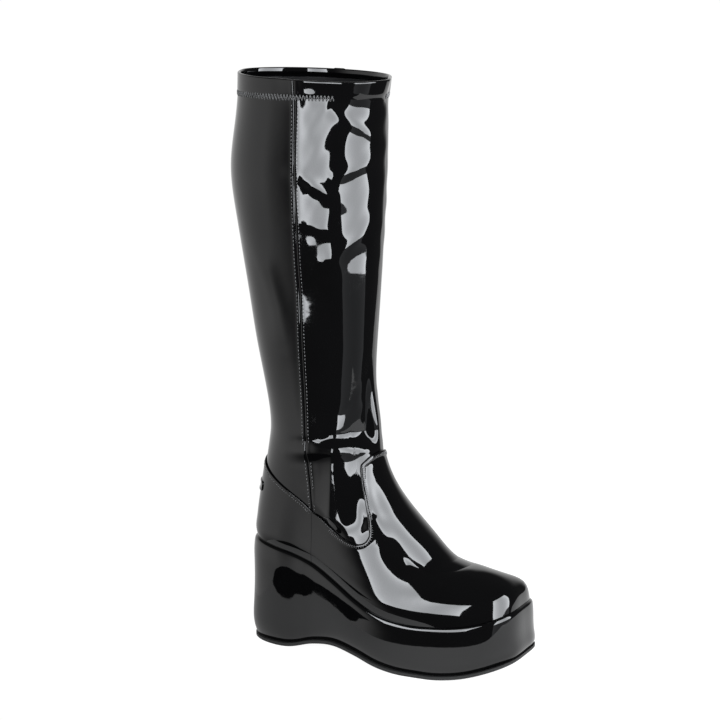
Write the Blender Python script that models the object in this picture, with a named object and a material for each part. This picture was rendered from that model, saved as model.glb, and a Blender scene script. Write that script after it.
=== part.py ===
"""Knee-high platform boot for the right foot: patent upper on a wrapped wedge platform.

Metres, +Z up. +X runs to the toe, +Y to the inner side of the leg, where the zip is.
The origin is on the floor, under the middle of the heel.
"""

import functools

import bmesh
import bpy
import numpy as np
from mathutils import Matrix, Vector

MM = 0.001

# Driving dimensions
GAP = 0.3 * MM              # clearance between pieces that touch
WALL = 2.2 * MM             # upper with its lining
PANEL_GAP = 0.4 * MM        # vamp and counter lie this far off the upper
PANEL = 1.1 * MM            # their thickness
OUTSOLE = 3.0 * MM
INSOLE = 2.0 * MM
INSOLE_INSET = 0.5 * MM     # from the upper's inner face
WAIST = 4.0 * MM            # hollow of the inner side under the arch
WAIST_X = 75 * MM
WAIST_LENGTH = 60 * MM
HEEL_END = 20 * MM          # the heel's width holds up to here
BALL_START = 125 * MM       # the ball's width holds from here
FLARE_START = 60 * MM       # the platform's side changes from the heel's to the toe's
FLARE_END = 200 * MM
CHANNEL_DEPTH = 1.0 * MM    # recess of the upper along the zip
CHANNEL_FLOOR = 6.5 * MM    # half widths of the recess
CHANNEL_MOUTH = 7.5 * MM
TAPE = 0.5 * MM             # zip tape
TAPE_HALF = 6.0 * MM
COIL_HALF = 2.4 * MM        # closed zip coil, across and out from the tape
COIL_RISE = 1.2 * MM
COIL_CROWN = 0.65           # share of its width that is flat on top
SLIDER_Z = 474 * MM         # height of the slider's middle
SLIDER = Vector((8.4, 2.4, 12.0)) * MM
SLIDER_TAPER = 0.72         # its lower end is narrower
BAIL = Vector((2.0, 3.5, 7.0)) * MM
BAIL_BAR = 1.0 * MM         # thickness over the slot that holds the pull
BAIL_LEG = 1.3 * MM
BAIL_FOOT = 0.1 * MM        # of the bail under the slot
PULL = 1.2 * MM             # thickness of the pull
PULL_DROP = 1.0 * MM        # its axis is this far below the middle of the bail
TAB_HALF = 25 * MM          # heel tab, along the counter's back
TAB = 0.8 * MM

# Sole by length, in millimetres: height of its top edge and of its underside
SOLE_COLUMNS = ("x", "top", "under")
SOLE = (
    (-32, 93.5, 0),
    (0, 89.5, 0),
    (14, 87.2, 0),
    (24, 85.4, 0.8),
    (48, 79.6, 8),
    (72, 69.0, 12),
    (98, 56.0, 8.5),
    (120, 47.6, 2.5),
    (140, 44.4, 0),
    (165, 44.6, 0),
    (190, 47.2, 3.4),
    (215, 54.0, 11.5),
    (235, 63.0, 21),
)

# Side of the platform and of the outsole in millimetres. Columns: how far out from the feather
# edge at the heel and at the toe, share of the sole's height, and lift over that height.
PLATFORM_SIDE = (
    (2.6, 5.2, 0.0, 3.3),
    (3.4, 6.0, 0.0, 5.0),
    (5.6, 5.8, 0.35, 0.0),
    (4.9, 4.8, 0.75, 0.0),
    (4.3, 4.2, 1.0, -4.2),
    (3.3, 3.2, 1.0, -1.3),
    (1.7, 1.7, 1.0, -0.3),
)
OUTSOLE_SIDE = (
    (3.4, 6.0, 0.0, 0.0),
    (4.0, 6.6, 0.0, 0.6),
    (4.0, 6.6, 0.0, 3.0),
)

# Rings of the last in millimetres, from the feather edge to the collar. The two half outlines
# meet at wide_x; toe_n and heel_n say how square their ends are; follow is the share of the
# sole's curve that a ring keeps; seam_x and zip_x are where side seam and zip cross it.
SECTION_COLUMNS = ("back_x", "back_z", "front_x", "front_z", "wide_x", "outer", "inner", "heel",
                   "toe_n", "heel_n", "follow", "seam_x", "zip_x")
SECTIONS = {
    "feather": (-18, 93, 224.5, 60.0, 30, 52.5, 46.0, 33.0, 4.0, 2.6, 1.00, 48, 45),
    "swell": (-19.3, 98, 224.5, 67, 30, 54.0, 47.5, 34.4, 3.6, 2.6, 0.95, 48, 45),
    "toe_side": (-19.3, 103, 219.5, 74, 30, 54.0, 47.8, 34.6, 2.8, 2.6, 0.85, 48, 45),
    "toe_round": (-18.8, 109.5, 207, 79, 30, 52.5, 47.0, 34.4, 2.1, 2.5, 0.75, 48, 45),
    "toe_top": (-17.9, 117, 188, 82.3, 30, 51.0, 46.0, 34.0, 1.75, 2.5, 0.65, 48, 44),
    "vamp_low": (-16.8, 125.5, 168, 84.2, 31, 51.0, 46.0, 33.8, 1.95, 2.5, 0.50, 48, 43),
    "vamp": (-15.5, 134, 154, 93, 32, 49.5, 45.0, 33.6, 2.1, 2.4, 0.40, 48, 42),
    "instep_low": (-14.1, 143.5, 141.5, 105, 33, 47.0, 43.5, 33.6, 2.1, 2.35, 0.30, 48, 42),
    "instep": (-12.4, 153.5, 125.5, 120, 34, 44.5, 41.5, 34.0, 2.1, 2.3, 0.20, 47, 42),
    "instep_high": (-10.7, 164, 109, 138.5, 36, 42.0, 40.0, 34.8, 2.1, 2.2, 0.10, 46, 42),
    "tongue": (-9.2, 174.5, 98.5, 157, 38, 40.5, 39.0, 36.0, 2.05, 2.1, 0.05, 44, 42),
    "vamp_peak": (-8, 186, 93.4, 174.5, 41, 39.0, 38.2, 37.2, 2.0, 2.0, 0.00, 42.5, 42),
    "ankle": (-8.2, 200.5, 91.0, 198, 42, 38.0, 37.8, 37.8, 2.0, 2.0, 0.00, 42, 41),
    "shaft_low": (-12.5, 226.5, 87.2, 226.5, 38, 38.0, 38.0, 38.0, 2.0, 2.0, 0.00, 41, 38),
    "shaft": (-19.9, 265.5, 88.0, 265.5, 35, 41.0, 41.0, 41.0, 2.0, 2.0, 0.00, 41, 35),
    "calf_low": (-25.8, 304, 90.8, 304, 33, 44.2, 44.2, 44.2, 2.0, 2.0, 0.00, 41, 33),
    "calf": (-30.7, 334, 92.5, 334, 31, 46.9, 46.9, 46.9, 2.0, 2.0, 0.00, 40, 32),
    "calf_full": (-37.3, 373, 94.7, 373, 29, 50.2, 50.2, 50.2, 2.0, 2.0, 0.00, 40, 31),
    "calf_top": (-41.6, 413, 96.3, 413, 27.4, 52.4, 52.4, 52.4, 2.0, 2.0, 0.00, 40, 30),
    "hem_low": (-37.2, 450, 97, 450, 30, 51.0, 51.0, 51.0, 2.0, 2.0, 0.00, 40, 30),
    "hem": (-34.3, 475, 97.5, 475, 31.5, 50.3, 50.3, 50.3, 2.0, 2.0, 0.00, 40, 30),
    "collar": (-33.6, 490, 99.5, 490, 32.6, 51.0, 51.0, 51.0, 2.0, 2.0, 0.00, 40, 30),
}
LENGTH_COLUMNS = {"back_x", "back_z", "front_x", "front_z", "wide_x", "outer", "inner", "heel",
                  "seam_x", "zip_x"}
LEVEL = {name: index for index, name in enumerate(SECTIONS)}

# Top edge of vamp and counter: level of the last by place round the foot, which runs from 0 at
# the middle of the front over 1 at the side seam or the zip to 2 at the back of the heel
EDGE_COLUMNS = ("place", "level")
PANEL_EDGE = (
    (0.00, 11.0),
    (0.12, 10.95),
    (0.28, 10.7),
    (0.38, 10.3),
    (0.45, 9.0),
    (0.52, 7.1),
    (0.60, 6.0),
    (0.70, 5.4),
    (0.80, 5.4),
    (0.90, 5.9),
    (1.00, 6.4),
    (1.40, 7.6),
    (1.80, 8.5),
    (2.00, 8.8),
)
TAB_LEVELS = (6.0, 6.8)

# Mesh density
RING_POINTS = 960           # points that measure a ring before it is divided
FRONT_COLUMNS = 16          # from the toe to the seam or the zip
BACK_COLUMNS = 8            # from the seam or the zip to the heel
SIDE_COLUMNS_EACH = 4       # across the seam, and across the zip's recess
PANEL_ROWS = (0, 0.05, 0.1, 0.15, 0.2, 0.25, 0.3, 0.37, 0.46, 0.57, 0.7, 0.85, 1)
ANKLE_ROWS = 4              # from the panels' edge to the ankle
TAB_COLUMNS = 9
NORMAL_STEP = 0.05          # levels to each side that a normal is measured over
SHARP_ANGLE = np.radians(40)


def ease(share):
    """Soft step from 0 to 1."""
    share = np.clip(share, 0, 1)
    return share * share * (3 - 2 * share)


def blend(knots, values, at):
    """Smooth curve through a table's values."""
    knots, values = np.asarray(knots, float), np.asarray(values, float)
    tangents = np.gradient(values, knots)
    at = np.clip(at, knots[0], knots[-1])
    row = np.clip(np.searchsorted(knots, at, side="right") - 1, 0, len(knots) - 2)
    width = knots[row + 1] - knots[row]
    t = (at - knots[row]) / width
    start = (1 + 2 * t) * (1 - t) ** 2 * values[row] + t * (1 - t) ** 2 * width * tangents[row]
    end = t * t * (3 - 2 * t) * values[row + 1] - t * t * (1 - t) * width * tangents[row + 1]
    return start + end


def sole(column, x):
    """Height of the sole's top edge or underside at a place along the boot."""
    rows = np.array(SOLE) * MM
    return np.maximum(blend(rows[:, 0], rows[:, SOLE_COLUMNS.index(column)], x), 0)


def panel_edge(place_round):
    """Level of the panels' top edge."""
    rows = np.array(PANEL_EDGE)
    return blend(rows[:, 0], rows[:, EDGE_COLUMNS.index("level")], place_round)


def section(level):
    """Sizes of the last at a level, by column name."""
    rows = np.array(list(SECTIONS.values()))
    levels = np.arange(len(rows))
    sizes = {}
    for index, name in enumerate(SECTION_COLUMNS):
        unit = MM if name in LENGTH_COLUMNS else 1
        sizes[name] = float(blend(levels, rows[:, index] * unit, level))
    return sizes


def level_at_height(height):
    """Level of the shaft's ring at a height."""
    levels = np.linspace(LEVEL["ankle"], LEVEL["collar"], RING_POINTS)
    return float(np.interp(height, [section(level)["back_z"] for level in levels], levels))


@functools.cache
def ring(level):
    """Closed ring of the last, from the toe along the outer side to the heel and back inside."""
    size = section(level)
    turn = np.linspace(0, 2 * np.pi, RING_POINTS + 1)
    ahead, aside = np.cos(turn), np.sin(turn)
    power = 2 / np.where(ahead > 0, size["toe_n"], size["heel_n"])
    reach = np.where(ahead > 0, size["front_x"] - size["wide_x"], size["wide_x"] - size["back_x"])
    x = size["wide_x"] + reach * np.sign(ahead) * np.abs(ahead) ** power
    ball = np.where(aside > 0, size["outer"], size["inner"])
    half = size["heel"] + (ball - size["heel"]) * ease((x - HEEL_END) / (BALL_START - HEEL_END))
    hollow = np.clip(1 - ((x - WAIST_X) / WAIST_LENGTH) ** 2, 0, 1) ** 2
    half = half - np.where(aside < 0, WAIST * size["follow"] * hollow, 0)
    y = -half * np.sign(aside) * np.abs(aside) ** power
    along = (x - size["back_x"]) / (size["front_x"] - size["back_x"])
    back_top, front_top = sole("top", size["back_x"]), sole("top", size["front_x"])
    chord = back_top + (front_top - back_top) * along
    z = size["back_z"] + (size["front_z"] - size["back_z"]) * along
    z = z + size["follow"] * (sole("top", x) - chord)
    if level == 0:
        z = sole("top", x)
    points = np.stack([x, y, z], axis=1)
    arc = np.append(0, np.cumsum(np.linalg.norm(np.diff(points, axis=0), axis=1)))
    half_way = RING_POINTS // 2
    marks = {
        "seam": np.interp(-size["seam_x"], -x[:half_way], arc[:half_way]),
        "heel": arc[half_way],
        "zip": np.interp(size["zip_x"], x[half_way:], arc[half_way:]),
        "end": arc[-1],
    }
    return points, arc, marks


def place(points, arc, stations):
    """Points of a ring at stations along it."""
    stations = np.mod(stations, arc[-1])
    return np.stack([np.interp(stations, arc, points[:, axis]) for axis in range(3)], axis=1)


def all_stations(marks):
    """Stations of every column, as many on the outer side as on the inner side."""
    across = np.array((-CHANNEL_MOUTH, -CHANNEL_FLOOR, 0, CHANNEL_FLOOR))
    seam, heel, zip_line, end = (marks[name] for name in ("seam", "heel", "zip", "end"))
    return np.concatenate([
        np.linspace(0, seam - CHANNEL_MOUTH, FRONT_COLUMNS, endpoint=False),
        seam + across,
        np.linspace(seam + CHANNEL_MOUTH, heel, BACK_COLUMNS, endpoint=False),
        np.linspace(heel, zip_line - CHANNEL_MOUTH, BACK_COLUMNS, endpoint=False),
        zip_line + across,
        np.linspace(zip_line + CHANNEL_MOUTH, end, FRONT_COLUMNS, endpoint=False),
    ])


COLUMN_COUNT = 2 * (FRONT_COLUMNS + SIDE_COLUMNS_EACH + BACK_COLUMNS)
ZIP_COLUMN = FRONT_COLUMNS + SIDE_COLUMNS_EACH + 2 * BACK_COLUMNS + 2


def vamp_stations(marks):
    """Stations of the vamp, from the zip round the toe to the side seam."""
    seam, zip_line, end = marks["seam"], marks["zip"], marks["end"]
    return np.concatenate([
        np.linspace(zip_line + CHANNEL_MOUTH, end, FRONT_COLUMNS, endpoint=False),
        end + np.linspace(0, seam - CHANNEL_MOUTH, FRONT_COLUMNS + 1),
        end + seam - np.array((CHANNEL_FLOOR, GAP / 2)),
    ])


def counter_stations(marks):
    """Stations of the counter, from the side seam round the heel to the zip."""
    seam, heel, zip_line = marks["seam"], marks["heel"], marks["zip"]
    return np.concatenate([
        seam + np.array((GAP / 2, CHANNEL_FLOOR)),
        np.linspace(seam + CHANNEL_MOUTH, heel, BACK_COLUMNS, endpoint=False),
        np.linspace(heel, zip_line - CHANNEL_MOUTH, BACK_COLUMNS + 1),
    ])


def tab_stations(marks):
    """Stations of the heel tab, on both sides of the heel's middle."""
    return marks["heel"] + np.linspace(-TAB_HALF, TAB_HALF, TAB_COLUMNS)


def skin(level, stations_of, lift):
    """Columns of the last at a level, moved out along the surface's normal by lift."""
    points, arc, marks = ring(level)
    stations = stations_of(marks)
    around = place(points, arc, stations + MM) - place(points, arc, stations - MM)
    ends = []
    for near in (max(level - NORMAL_STEP, 0), min(level + NORMAL_STEP, LEVEL["collar"])):
        near_points, near_arc, near_marks = ring(near)
        ends.append(place(near_points, near_arc, stations_of(near_marks)))
    normal = np.cross(ends[1] - ends[0], around)
    normal[:, 2] *= ease(level)
    normal /= np.linalg.norm(normal, axis=1, keepdims=True)
    return place(points, arc, stations) + normal * np.reshape(lift, (-1, 1))


def columns(levels, stations_of, lift):
    """Columns of the last, each at a level of its own, moved out by lift."""
    points = [skin(level, stations_of, lift)[i] for i, level in enumerate(levels)]
    return np.array(points)


def panel_levels(stations_of):
    """Rows of levels from the feather edge to the panels' top edge, one level a column."""
    marks = ring(0)[2]
    corners = [0, marks["seam"], marks["heel"], marks["zip"], marks["end"]]
    places = np.interp(np.mod(stations_of(marks), marks["end"]), corners, (0, 1, 2, 1, 0))
    return [row * panel_edge(places) for row in PANEL_ROWS]


def upper_levels(stations_of):
    """Rows of levels from the feather edge to the collar, which follow the panels' edge."""
    rows = panel_levels(stations_of)
    edge = rows[-1]
    for step in range(1, ANKLE_ROWS + 1):
        rows.append(edge + (LEVEL["ankle"] - edge) * step / ANKLE_ROWS)
    for level in range(LEVEL["ankle"] + 1, LEVEL["collar"] + 1):
        rows.append(np.full(len(edge), float(level)))
    return rows


def ladder(count, shift):
    """Faces that cap a loop by joining its two sides, from the first point to the last."""
    rungs = [(i, (-i - shift) % count) for i in range((count + 2 - shift) // 2)]
    return [list(dict.fromkeys((a, c, d, b))) for (a, b), (c, d) in zip(rungs, rungs[1:])]


def loft(name, loops, material, cap_shift=None):
    """Closed body through loops of equal count; without caps its last loop joins its first.

    Every face is split along the same diagonal, so that layers over each other stay parallel.
    """
    body = bmesh.new()
    rows = [[body.verts.new(point) for point in loop] for loop in loops]
    count = len(rows[0])
    pairs = list(zip(rows, rows[1:]))
    if cap_shift is None:
        pairs.append((rows[-1], rows[0]))
    else:
        for row in (rows[0], rows[-1]):
            for face in ladder(count, cap_shift):
                body.faces.new([row[i] for i in face])
    for low, high in pairs:
        for i in range(count):
            j = (i + 1) % count
            body.faces.new((low[i], low[j], high[j], high[i]))
    bmesh.ops.triangulate(body, faces=body.faces, quad_method="FIXED")
    bmesh.ops.recalc_face_normals(body, faces=body.faces)
    return add_piece(name, body, material)


def add_piece(name, body, material, collection=None):
    """Object of a body, with its finish, in the boot's collection or another."""
    mesh = bpy.data.meshes.new(name)
    body.to_mesh(mesh)
    body.free()
    mesh.shade_smooth()
    mesh.set_sharp_from_angle(angle=SHARP_ANGLE)
    mesh.materials.append(material)
    piece = bpy.data.objects.new(name, mesh)
    (collection or boot).objects.link(piece)
    return piece


def finish(name, colour, roughness, metallic=0.0):
    """Principled finish of a sub-part."""
    material = bpy.data.materials.new(name)
    material.use_nodes = True
    shader = material.node_tree.nodes["Principled BSDF"]
    shader.inputs["Base Color"].default_value = (*colour, 1)
    shader.inputs["Roughness"].default_value = roughness
    shader.inputs["Metallic"].default_value = metallic
    return material


def make_upper():
    """Hollow wall of foot and shaft, open at the collar and underneath, recessed for the zip."""
    recess = np.zeros(COLUMN_COUNT)
    recess[ZIP_COLUMN - 1:ZIP_COLUMN + 2] = -CHANNEL_DEPTH
    wall = np.full(COLUMN_COUNT, -WALL)
    outside = [columns(row, all_stations, recess) for row in upper_levels(all_stations)]
    inside = [skin(float(level), all_stations, wall) for level in range(LEVEL["collar"], -1, -1)]
    loft("upper", outside + inside, finish("upper patent", (0.01, 0.01, 0.011), 0.08))


def make_panel(name, stations_of, material):
    """Panel over the foot, from the feather edge to the panels' top edge, just off the upper."""
    loops = []
    for row in panel_levels(stations_of):
        near = columns(row, stations_of, np.full(len(row), PANEL_GAP))
        far = columns(row, stations_of, np.full(len(row), PANEL_GAP + PANEL))
        loops.append(np.concatenate([near, far[::-1]]))
    loft(name, loops, material, cap_shift=1)


def sole_loops(rows):
    """Rings of the sole's side, from the feather edge's outline and a table of its profile."""
    inner = skin(0, all_stations, np.zeros(COLUMN_COUNT))
    outward = skin(0, all_stations, np.ones(COLUMN_COUNT)) - inner
    x = inner[:, 0]
    under, top = sole("under", x), sole("top", x)
    toe_share = ease((x - FLARE_START) / (FLARE_END - FLARE_START))
    loops = []
    for out_heel, out_toe, rise, lift in rows:
        out = (out_heel + (out_toe - out_heel) * toe_share) * MM
        points = inner + outward * out[:, None]
        points[:, 2] = under + rise * (top - under) + lift * MM
        loops.append(points)
    return loops


def make_sole():
    """Wrapped platform with its rounded shoulder, and the rubber outsole under it."""
    platform = finish("platform patent", (0.01, 0.01, 0.011), 0.1)
    rubber = finish("outsole rubber", (0.012, 0.012, 0.012), 0.5)
    loft("platform", sole_loops(PLATFORM_SIDE), platform, cap_shift=0)
    loft("outsole", sole_loops(OUTSOLE_SIDE), rubber, cap_shift=0)


def make_insole():
    """Sock board on the platform, inside the upper."""
    outline = skin(0, all_stations, np.full(COLUMN_COUNT, -WALL - INSOLE_INSET))
    loops = [outline + np.array((0, 0, rise)) for rise in (0, INSOLE)]
    loft("insole", loops, finish("insole cloth", (0.02, 0.02, 0.02), 0.8), cap_shift=0)


def zip_levels(top):
    """Levels of the upper's rows along the zip, up to a top level."""
    rows = upper_levels(lambda marks: np.array([marks["zip"]]))
    return [float(row[0]) for row in rows if row[0] < top] + [top]


def zip_strip(name, profile, top, material):
    """Strip along the zip: a profile of places across and lifts, carried up the upper's side."""
    across = np.array([point[0] for point in profile])
    lift = np.array([point[1] for point in profile])
    loops = [skin(level, lambda marks: marks["zip"] + across, lift) for level in zip_levels(top)]
    return loft(name, loops, material, cap_shift=1)


def make_zip():
    """Zip in its recess: tape, coil, slider with a slotted bail, and the pull that hangs in it."""
    low = GAP - CHANNEL_DEPTH
    high = low + TAPE
    tape = ((-TAPE_HALF, low), (0, low), (TAPE_HALF, low),
            (TAPE_HALF, high), (0, high), (-TAPE_HALF, high))
    cloth = finish("zip tape", (0.012, 0.012, 0.013), 0.7)
    zip_strip("zip_tape", tape, float(LEVEL["collar"]), cloth)
    foot = high + GAP
    top = foot + COIL_RISE
    shoulder = (foot + top) / 2
    flat = COIL_HALF * COIL_CROWN
    coil = ((-COIL_HALF, foot), (COIL_HALF, foot), (COIL_HALF, shoulder),
            (flat, top), (-flat, top), (-COIL_HALF, shoulder))
    coil_top = level_at_height(SLIDER_Z - SLIDER.z / 2 - GAP)
    zip_strip("zip_coil", coil, coil_top, finish("zip coil", (0.015, 0.015, 0.016), 0.4))
    points, arc, marks = ring(level_at_height(SLIDER_Z))
    middle = Vector(place(points, arc, np.array([marks["zip"]]))[0])
    seat = middle + Vector((0, foot, 0))
    metal = finish("zip metal", (0.03, 0.03, 0.032), 0.35, 0.9)
    make_slider(seat, metal)
    make_pull(seat, metal)


def box(name, size, middle, material, collection=None):
    """Block of a size at a place."""
    body = bmesh.new()
    bmesh.ops.create_cube(body, size=1, matrix=Matrix.Diagonal((*size, 1)))
    piece = add_piece(name, body, material, collection)
    piece.location = middle
    return piece


def make_slider(seat, metal):
    """Slider's body, narrower below, with a bail over a slot."""
    slider = box("zip_slider", SLIDER, seat + Vector((0, SLIDER.y / 2, 0)), metal)
    for vertex in slider.data.vertices:
        if vertex.co.z < 0:
            vertex.co.x *= SLIDER_TAPER
    bail_foot = seat + Vector((0, SLIDER.y - BAIL_FOOT, 0))
    bail = box("bail", BAIL, bail_foot + Vector((0, BAIL.y / 2, 0)), metal, cutters)
    slot_size = Vector((2 * BAIL.x, BAIL.y - BAIL_BAR - 2 * BAIL_FOOT, BAIL.z - 2 * BAIL_LEG))
    slot = box("bail slot", slot_size, pull_axis(seat) + Vector((0, 0, PULL_DROP)), metal, cutters)
    for cutter, operation in ((bail, "UNION"), (slot, "DIFFERENCE")):
        cutter.hide_render = True
        cutter.display_type = "WIRE"
        cut = slider.modifiers.new(cutter.name, "BOOLEAN")
        cut.operation = operation
        cut.object = cutter


def pull_axis(seat):
    """Middle of the pull's bar, under the bail."""
    slot_low = SLIDER.y + BAIL_FOOT
    slot_high = SLIDER.y - BAIL_FOOT + BAIL.y - BAIL_BAR
    return seat + Vector((0, (slot_low + slot_high) / 2, -PULL_DROP))


def round_corner(centre, radius, start):
    """Quarter turn of an outline, from a start angle in degrees."""
    angles = np.radians(start + np.linspace(0, 90, 4))
    return [(centre[0] + radius * np.cos(a), centre[1] + radius * np.sin(a)) for a in angles]


def make_pull(seat, metal):
    """Flat pull with an eye at its top, whose bar lies under the bail."""
    bar = 0.65 * MM
    neck, body, tip = 3.0 * MM, 4.0 * MM, 1.6 * MM
    neck_end, body_start, length = 6.0 * MM, 8.0 * MM, 25.0 * MM
    eye_half, eye_end = 1.8 * MM, 5.0 * MM
    right = [(body, -body_start), (neck, -neck_end), (neck, bar)]
    left = [(-x, y) for x, y in right[::-1]]
    foot = round_corner((-body + tip, -length + tip), tip, 180)
    foot += round_corner((body - tip, -length + tip), tip, 270)
    eye = [(-eye_half, -bar), (eye_half, -bar), (eye_half, -eye_end), (-eye_half, -eye_end)]
    shape = bpy.data.curves.new("zip_pull", "CURVE")
    shape.dimensions = "2D"
    shape.fill_mode = "BOTH"
    shape.extrude = PULL / 2
    for outline in (right + left + foot, eye):
        spline = shape.splines.new("POLY")
        spline.points.add(len(outline) - 1)
        for point, (x, y) in zip(spline.points, outline):
            point.co = (x, y, 0, 1)
        spline.use_cyclic_u = True
    shape.materials.append(metal)
    pull = bpy.data.objects.new("zip_pull", shape)
    boot.objects.link(pull)
    pull.location = pull_axis(seat)
    pull.rotation_euler = (np.pi / 2, 0, 0)


def make_heel_tab():
    """Plain tab across the back of the counter."""
    near = PANEL_GAP + PANEL + GAP
    far = near + TAB
    low, high = TAB_LEVELS
    corners = [skin(level, tab_stations, np.full(TAB_COLUMNS, lift))
               for level, lift in ((low, far), (high, far), (high, near), (low, near))]
    loops = [[corner[column] for corner in corners] for column in range(TAB_COLUMNS)]
    loft("heel_tab", loops, finish("heel tab", (0.008, 0.008, 0.009), 0.3), cap_shift=1)


for old in list(bpy.data.objects):
    bpy.data.objects.remove(old)
boot = bpy.data.collections.new("platform boot")
cutters = bpy.data.collections.new("cutters")
for group in (boot, cutters):
    bpy.context.scene.collection.children.link(group)

make_upper()
make_panel("vamp", vamp_stations, finish("vamp patent", (0.01, 0.01, 0.011), 0.07))
make_panel("counter", counter_stations, finish("counter patent", (0.01, 0.01, 0.011), 0.08))
make_sole()
make_insole()
make_zip()
make_heel_tab()
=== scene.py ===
# %% [markdown]
# # A knee-high platform boot in black patent
# The frame is the boot as it was made to size: a hollow upper, its vamp and counter, the wedge
# platform and a zip. Here each of those solids gets the surface of the real boot. Patent is a
# mirror, so the work is in two things: walls that curve evenly, and lights worth mirroring.

# %% Load the boot
import math

import bmesh
import bpy
import numpy as np
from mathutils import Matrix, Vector
from mathutils.bvhtree import BVHTree


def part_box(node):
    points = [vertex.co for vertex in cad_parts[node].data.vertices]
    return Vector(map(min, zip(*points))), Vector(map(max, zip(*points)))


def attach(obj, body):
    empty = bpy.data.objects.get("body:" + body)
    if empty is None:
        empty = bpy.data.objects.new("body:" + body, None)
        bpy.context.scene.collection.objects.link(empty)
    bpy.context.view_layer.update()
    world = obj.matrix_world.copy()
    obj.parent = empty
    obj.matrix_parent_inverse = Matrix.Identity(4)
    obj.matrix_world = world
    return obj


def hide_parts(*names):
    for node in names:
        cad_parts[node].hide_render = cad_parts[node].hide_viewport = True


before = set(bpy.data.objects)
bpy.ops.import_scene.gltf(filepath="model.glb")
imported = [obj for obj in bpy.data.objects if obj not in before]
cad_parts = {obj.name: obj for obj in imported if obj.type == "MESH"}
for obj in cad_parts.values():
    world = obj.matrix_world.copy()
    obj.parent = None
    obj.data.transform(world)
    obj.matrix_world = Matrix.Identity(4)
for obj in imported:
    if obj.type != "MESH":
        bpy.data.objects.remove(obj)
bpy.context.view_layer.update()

scene = bpy.context.scene
MM = 0.001
print("nodes", sorted(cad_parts))

# %% [markdown]
# ## The camera
# The boot was photographed from its outer side, a little in front and a little above. A long lens
# keeps the shaft's sides nearly parallel. The camera is set by its turn and tilt about a point
# inside the boot, because that is how one walks round an object with a tripod.

# %% Camera
CAMERA_TURN = math.radians(26.6)
CAMERA_TILT = math.radians(12.0)
CAMERA_DISTANCE = 1.8
CAMERA_AIM = Vector((0.0746, 0, 0.2517))
CAMERA_LENS = 106.6
CAMERA_SENSOR = 36

towards_camera = Vector((
    math.sin(CAMERA_TURN) * math.cos(CAMERA_TILT),
    -math.cos(CAMERA_TURN) * math.cos(CAMERA_TILT),
    math.sin(CAMERA_TILT),
))
bpy.ops.object.camera_add(location=CAMERA_AIM + CAMERA_DISTANCE * towards_camera)
camera = bpy.context.object
camera.rotation_euler = towards_camera.to_track_quat("Z", "Y").to_euler()
camera.data.lens = CAMERA_LENS
camera.data.sensor_width = CAMERA_SENSOR
bpy.context.scene.camera = camera
print("camera at", [round(value, 3) for value in camera.location])

# %% [markdown]
# ## Shader maths as Python
# A finish is a small network of nodes. Wrapping a socket in a class with the usual operators lets
# the network be written as sums and products, and one method adds any other node.

# %% A socket that can be added and multiplied
class Look:
    """An output socket of a node tree, with arithmetic that adds Math nodes."""

    def __init__(self, tree, socket):
        self.tree = tree
        self.socket = socket

    def node(self, kind, settings=None, out=0, **inputs):
        """Add a node, set it up, fill its inputs and return one of its outputs."""
        made = self.tree.nodes.new(kind)
        for name, value in (settings or {}).items():
            setattr(made, name, value)
        for name, value in inputs.items():
            key = int(name[1:]) if name[0] == "_" else name.replace("_", " ")
            if isinstance(value, Look):
                self.tree.links.new(value.socket, made.inputs[key])
            else:
                made.inputs[key].default_value = value
        return Look(self.tree, made.outputs[out])

    def maths(self, operation, first, second):
        return self.node("ShaderNodeMath", {"operation": operation}, _0=first, _1=second)

    def __add__(self, other):
        return self.maths("ADD", self, other)

    def __sub__(self, other):
        return self.maths("SUBTRACT", self, other)

    def __rsub__(self, other):
        return self.maths("SUBTRACT", other, self)

    def __mul__(self, other):
        return self.maths("MULTIPLY", self, other)

    def step(self, low, high):
        """Soft step from 0 at low to 1 at high."""
        return self.node("ShaderNodeMapRange", {"interpolation_type": "SMOOTHSTEP"},
                         Value=self, From_Min=low, From_Max=high)


# %% A new finish
def new_finish(name, **sockets):
    """A Principled finish; sockets that stay the same all over are set here."""
    finish = bpy.data.materials.new(name)
    finish.use_nodes = True
    shader = finish.node_tree.nodes["Principled BSDF"]
    for socket, value in sockets.items():
        shader.inputs[socket.replace("_", " ")].default_value = value
    place = finish.node_tree.nodes.new("ShaderNodeTexCoord").outputs["Object"]
    return finish, shader, Look(finish.node_tree, place)


def feed(shader, socket, look):
    look.tree.links.new(look.socket, shader.inputs[socket])


def grey(value, blue=None):
    return (value, value, blue or value, 1)


# %% [markdown]
# ## The studio
# The photograph's studio can be read from the boot itself: it stands on a white table, two tall
# softboxes stand in front, one off the outer side and one off the toe, white paper closes the
# back, and the room behind the camera is dark. The same is built here, because patent shows
# nothing but its surroundings. The table is so bright to the camera that it is plain white, while
# the boot mirrors it as a grey, so its glow has one value for the camera and one for mirrors.

# %% Table
TABLE_LOW, TABLE_HIGH = (-0.14, -0.146), (0.6, 5.8)
TABLE_WHITE, MATT = 0.15, 0.9
TABLE_SEEN = 0.97
# glow of the table as mirrors see it: painted light, brighter at the toe than at the heel, as if the
# softboxes lit the table more there
MIRRORED_AT_HEEL, MIRRORED_AT_TOE = 0.4, 0.66
TOE_GLOW = (0.03, 0.17)         # places along the foot between which the one turns to the other


def flat_sheet(name, low, high, finish):
    """Flat sheet on the ground between two corners, which isn't part of the boot."""
    middle = [(first + last) / 2 for first, last in zip(low, high)]
    bpy.ops.object.select_all(action="DESELECT")
    bpy.ops.mesh.primitive_plane_add(size=1, location=(*middle, 0))
    sheet = bpy.context.object
    sheet.name = name
    sheet.scale = [last - first for first, last in zip(low, high)] + [1]
    bpy.ops.object.transform_apply(location=True, scale=True)
    sheet.data.materials.append(finish)
    return sheet


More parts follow.
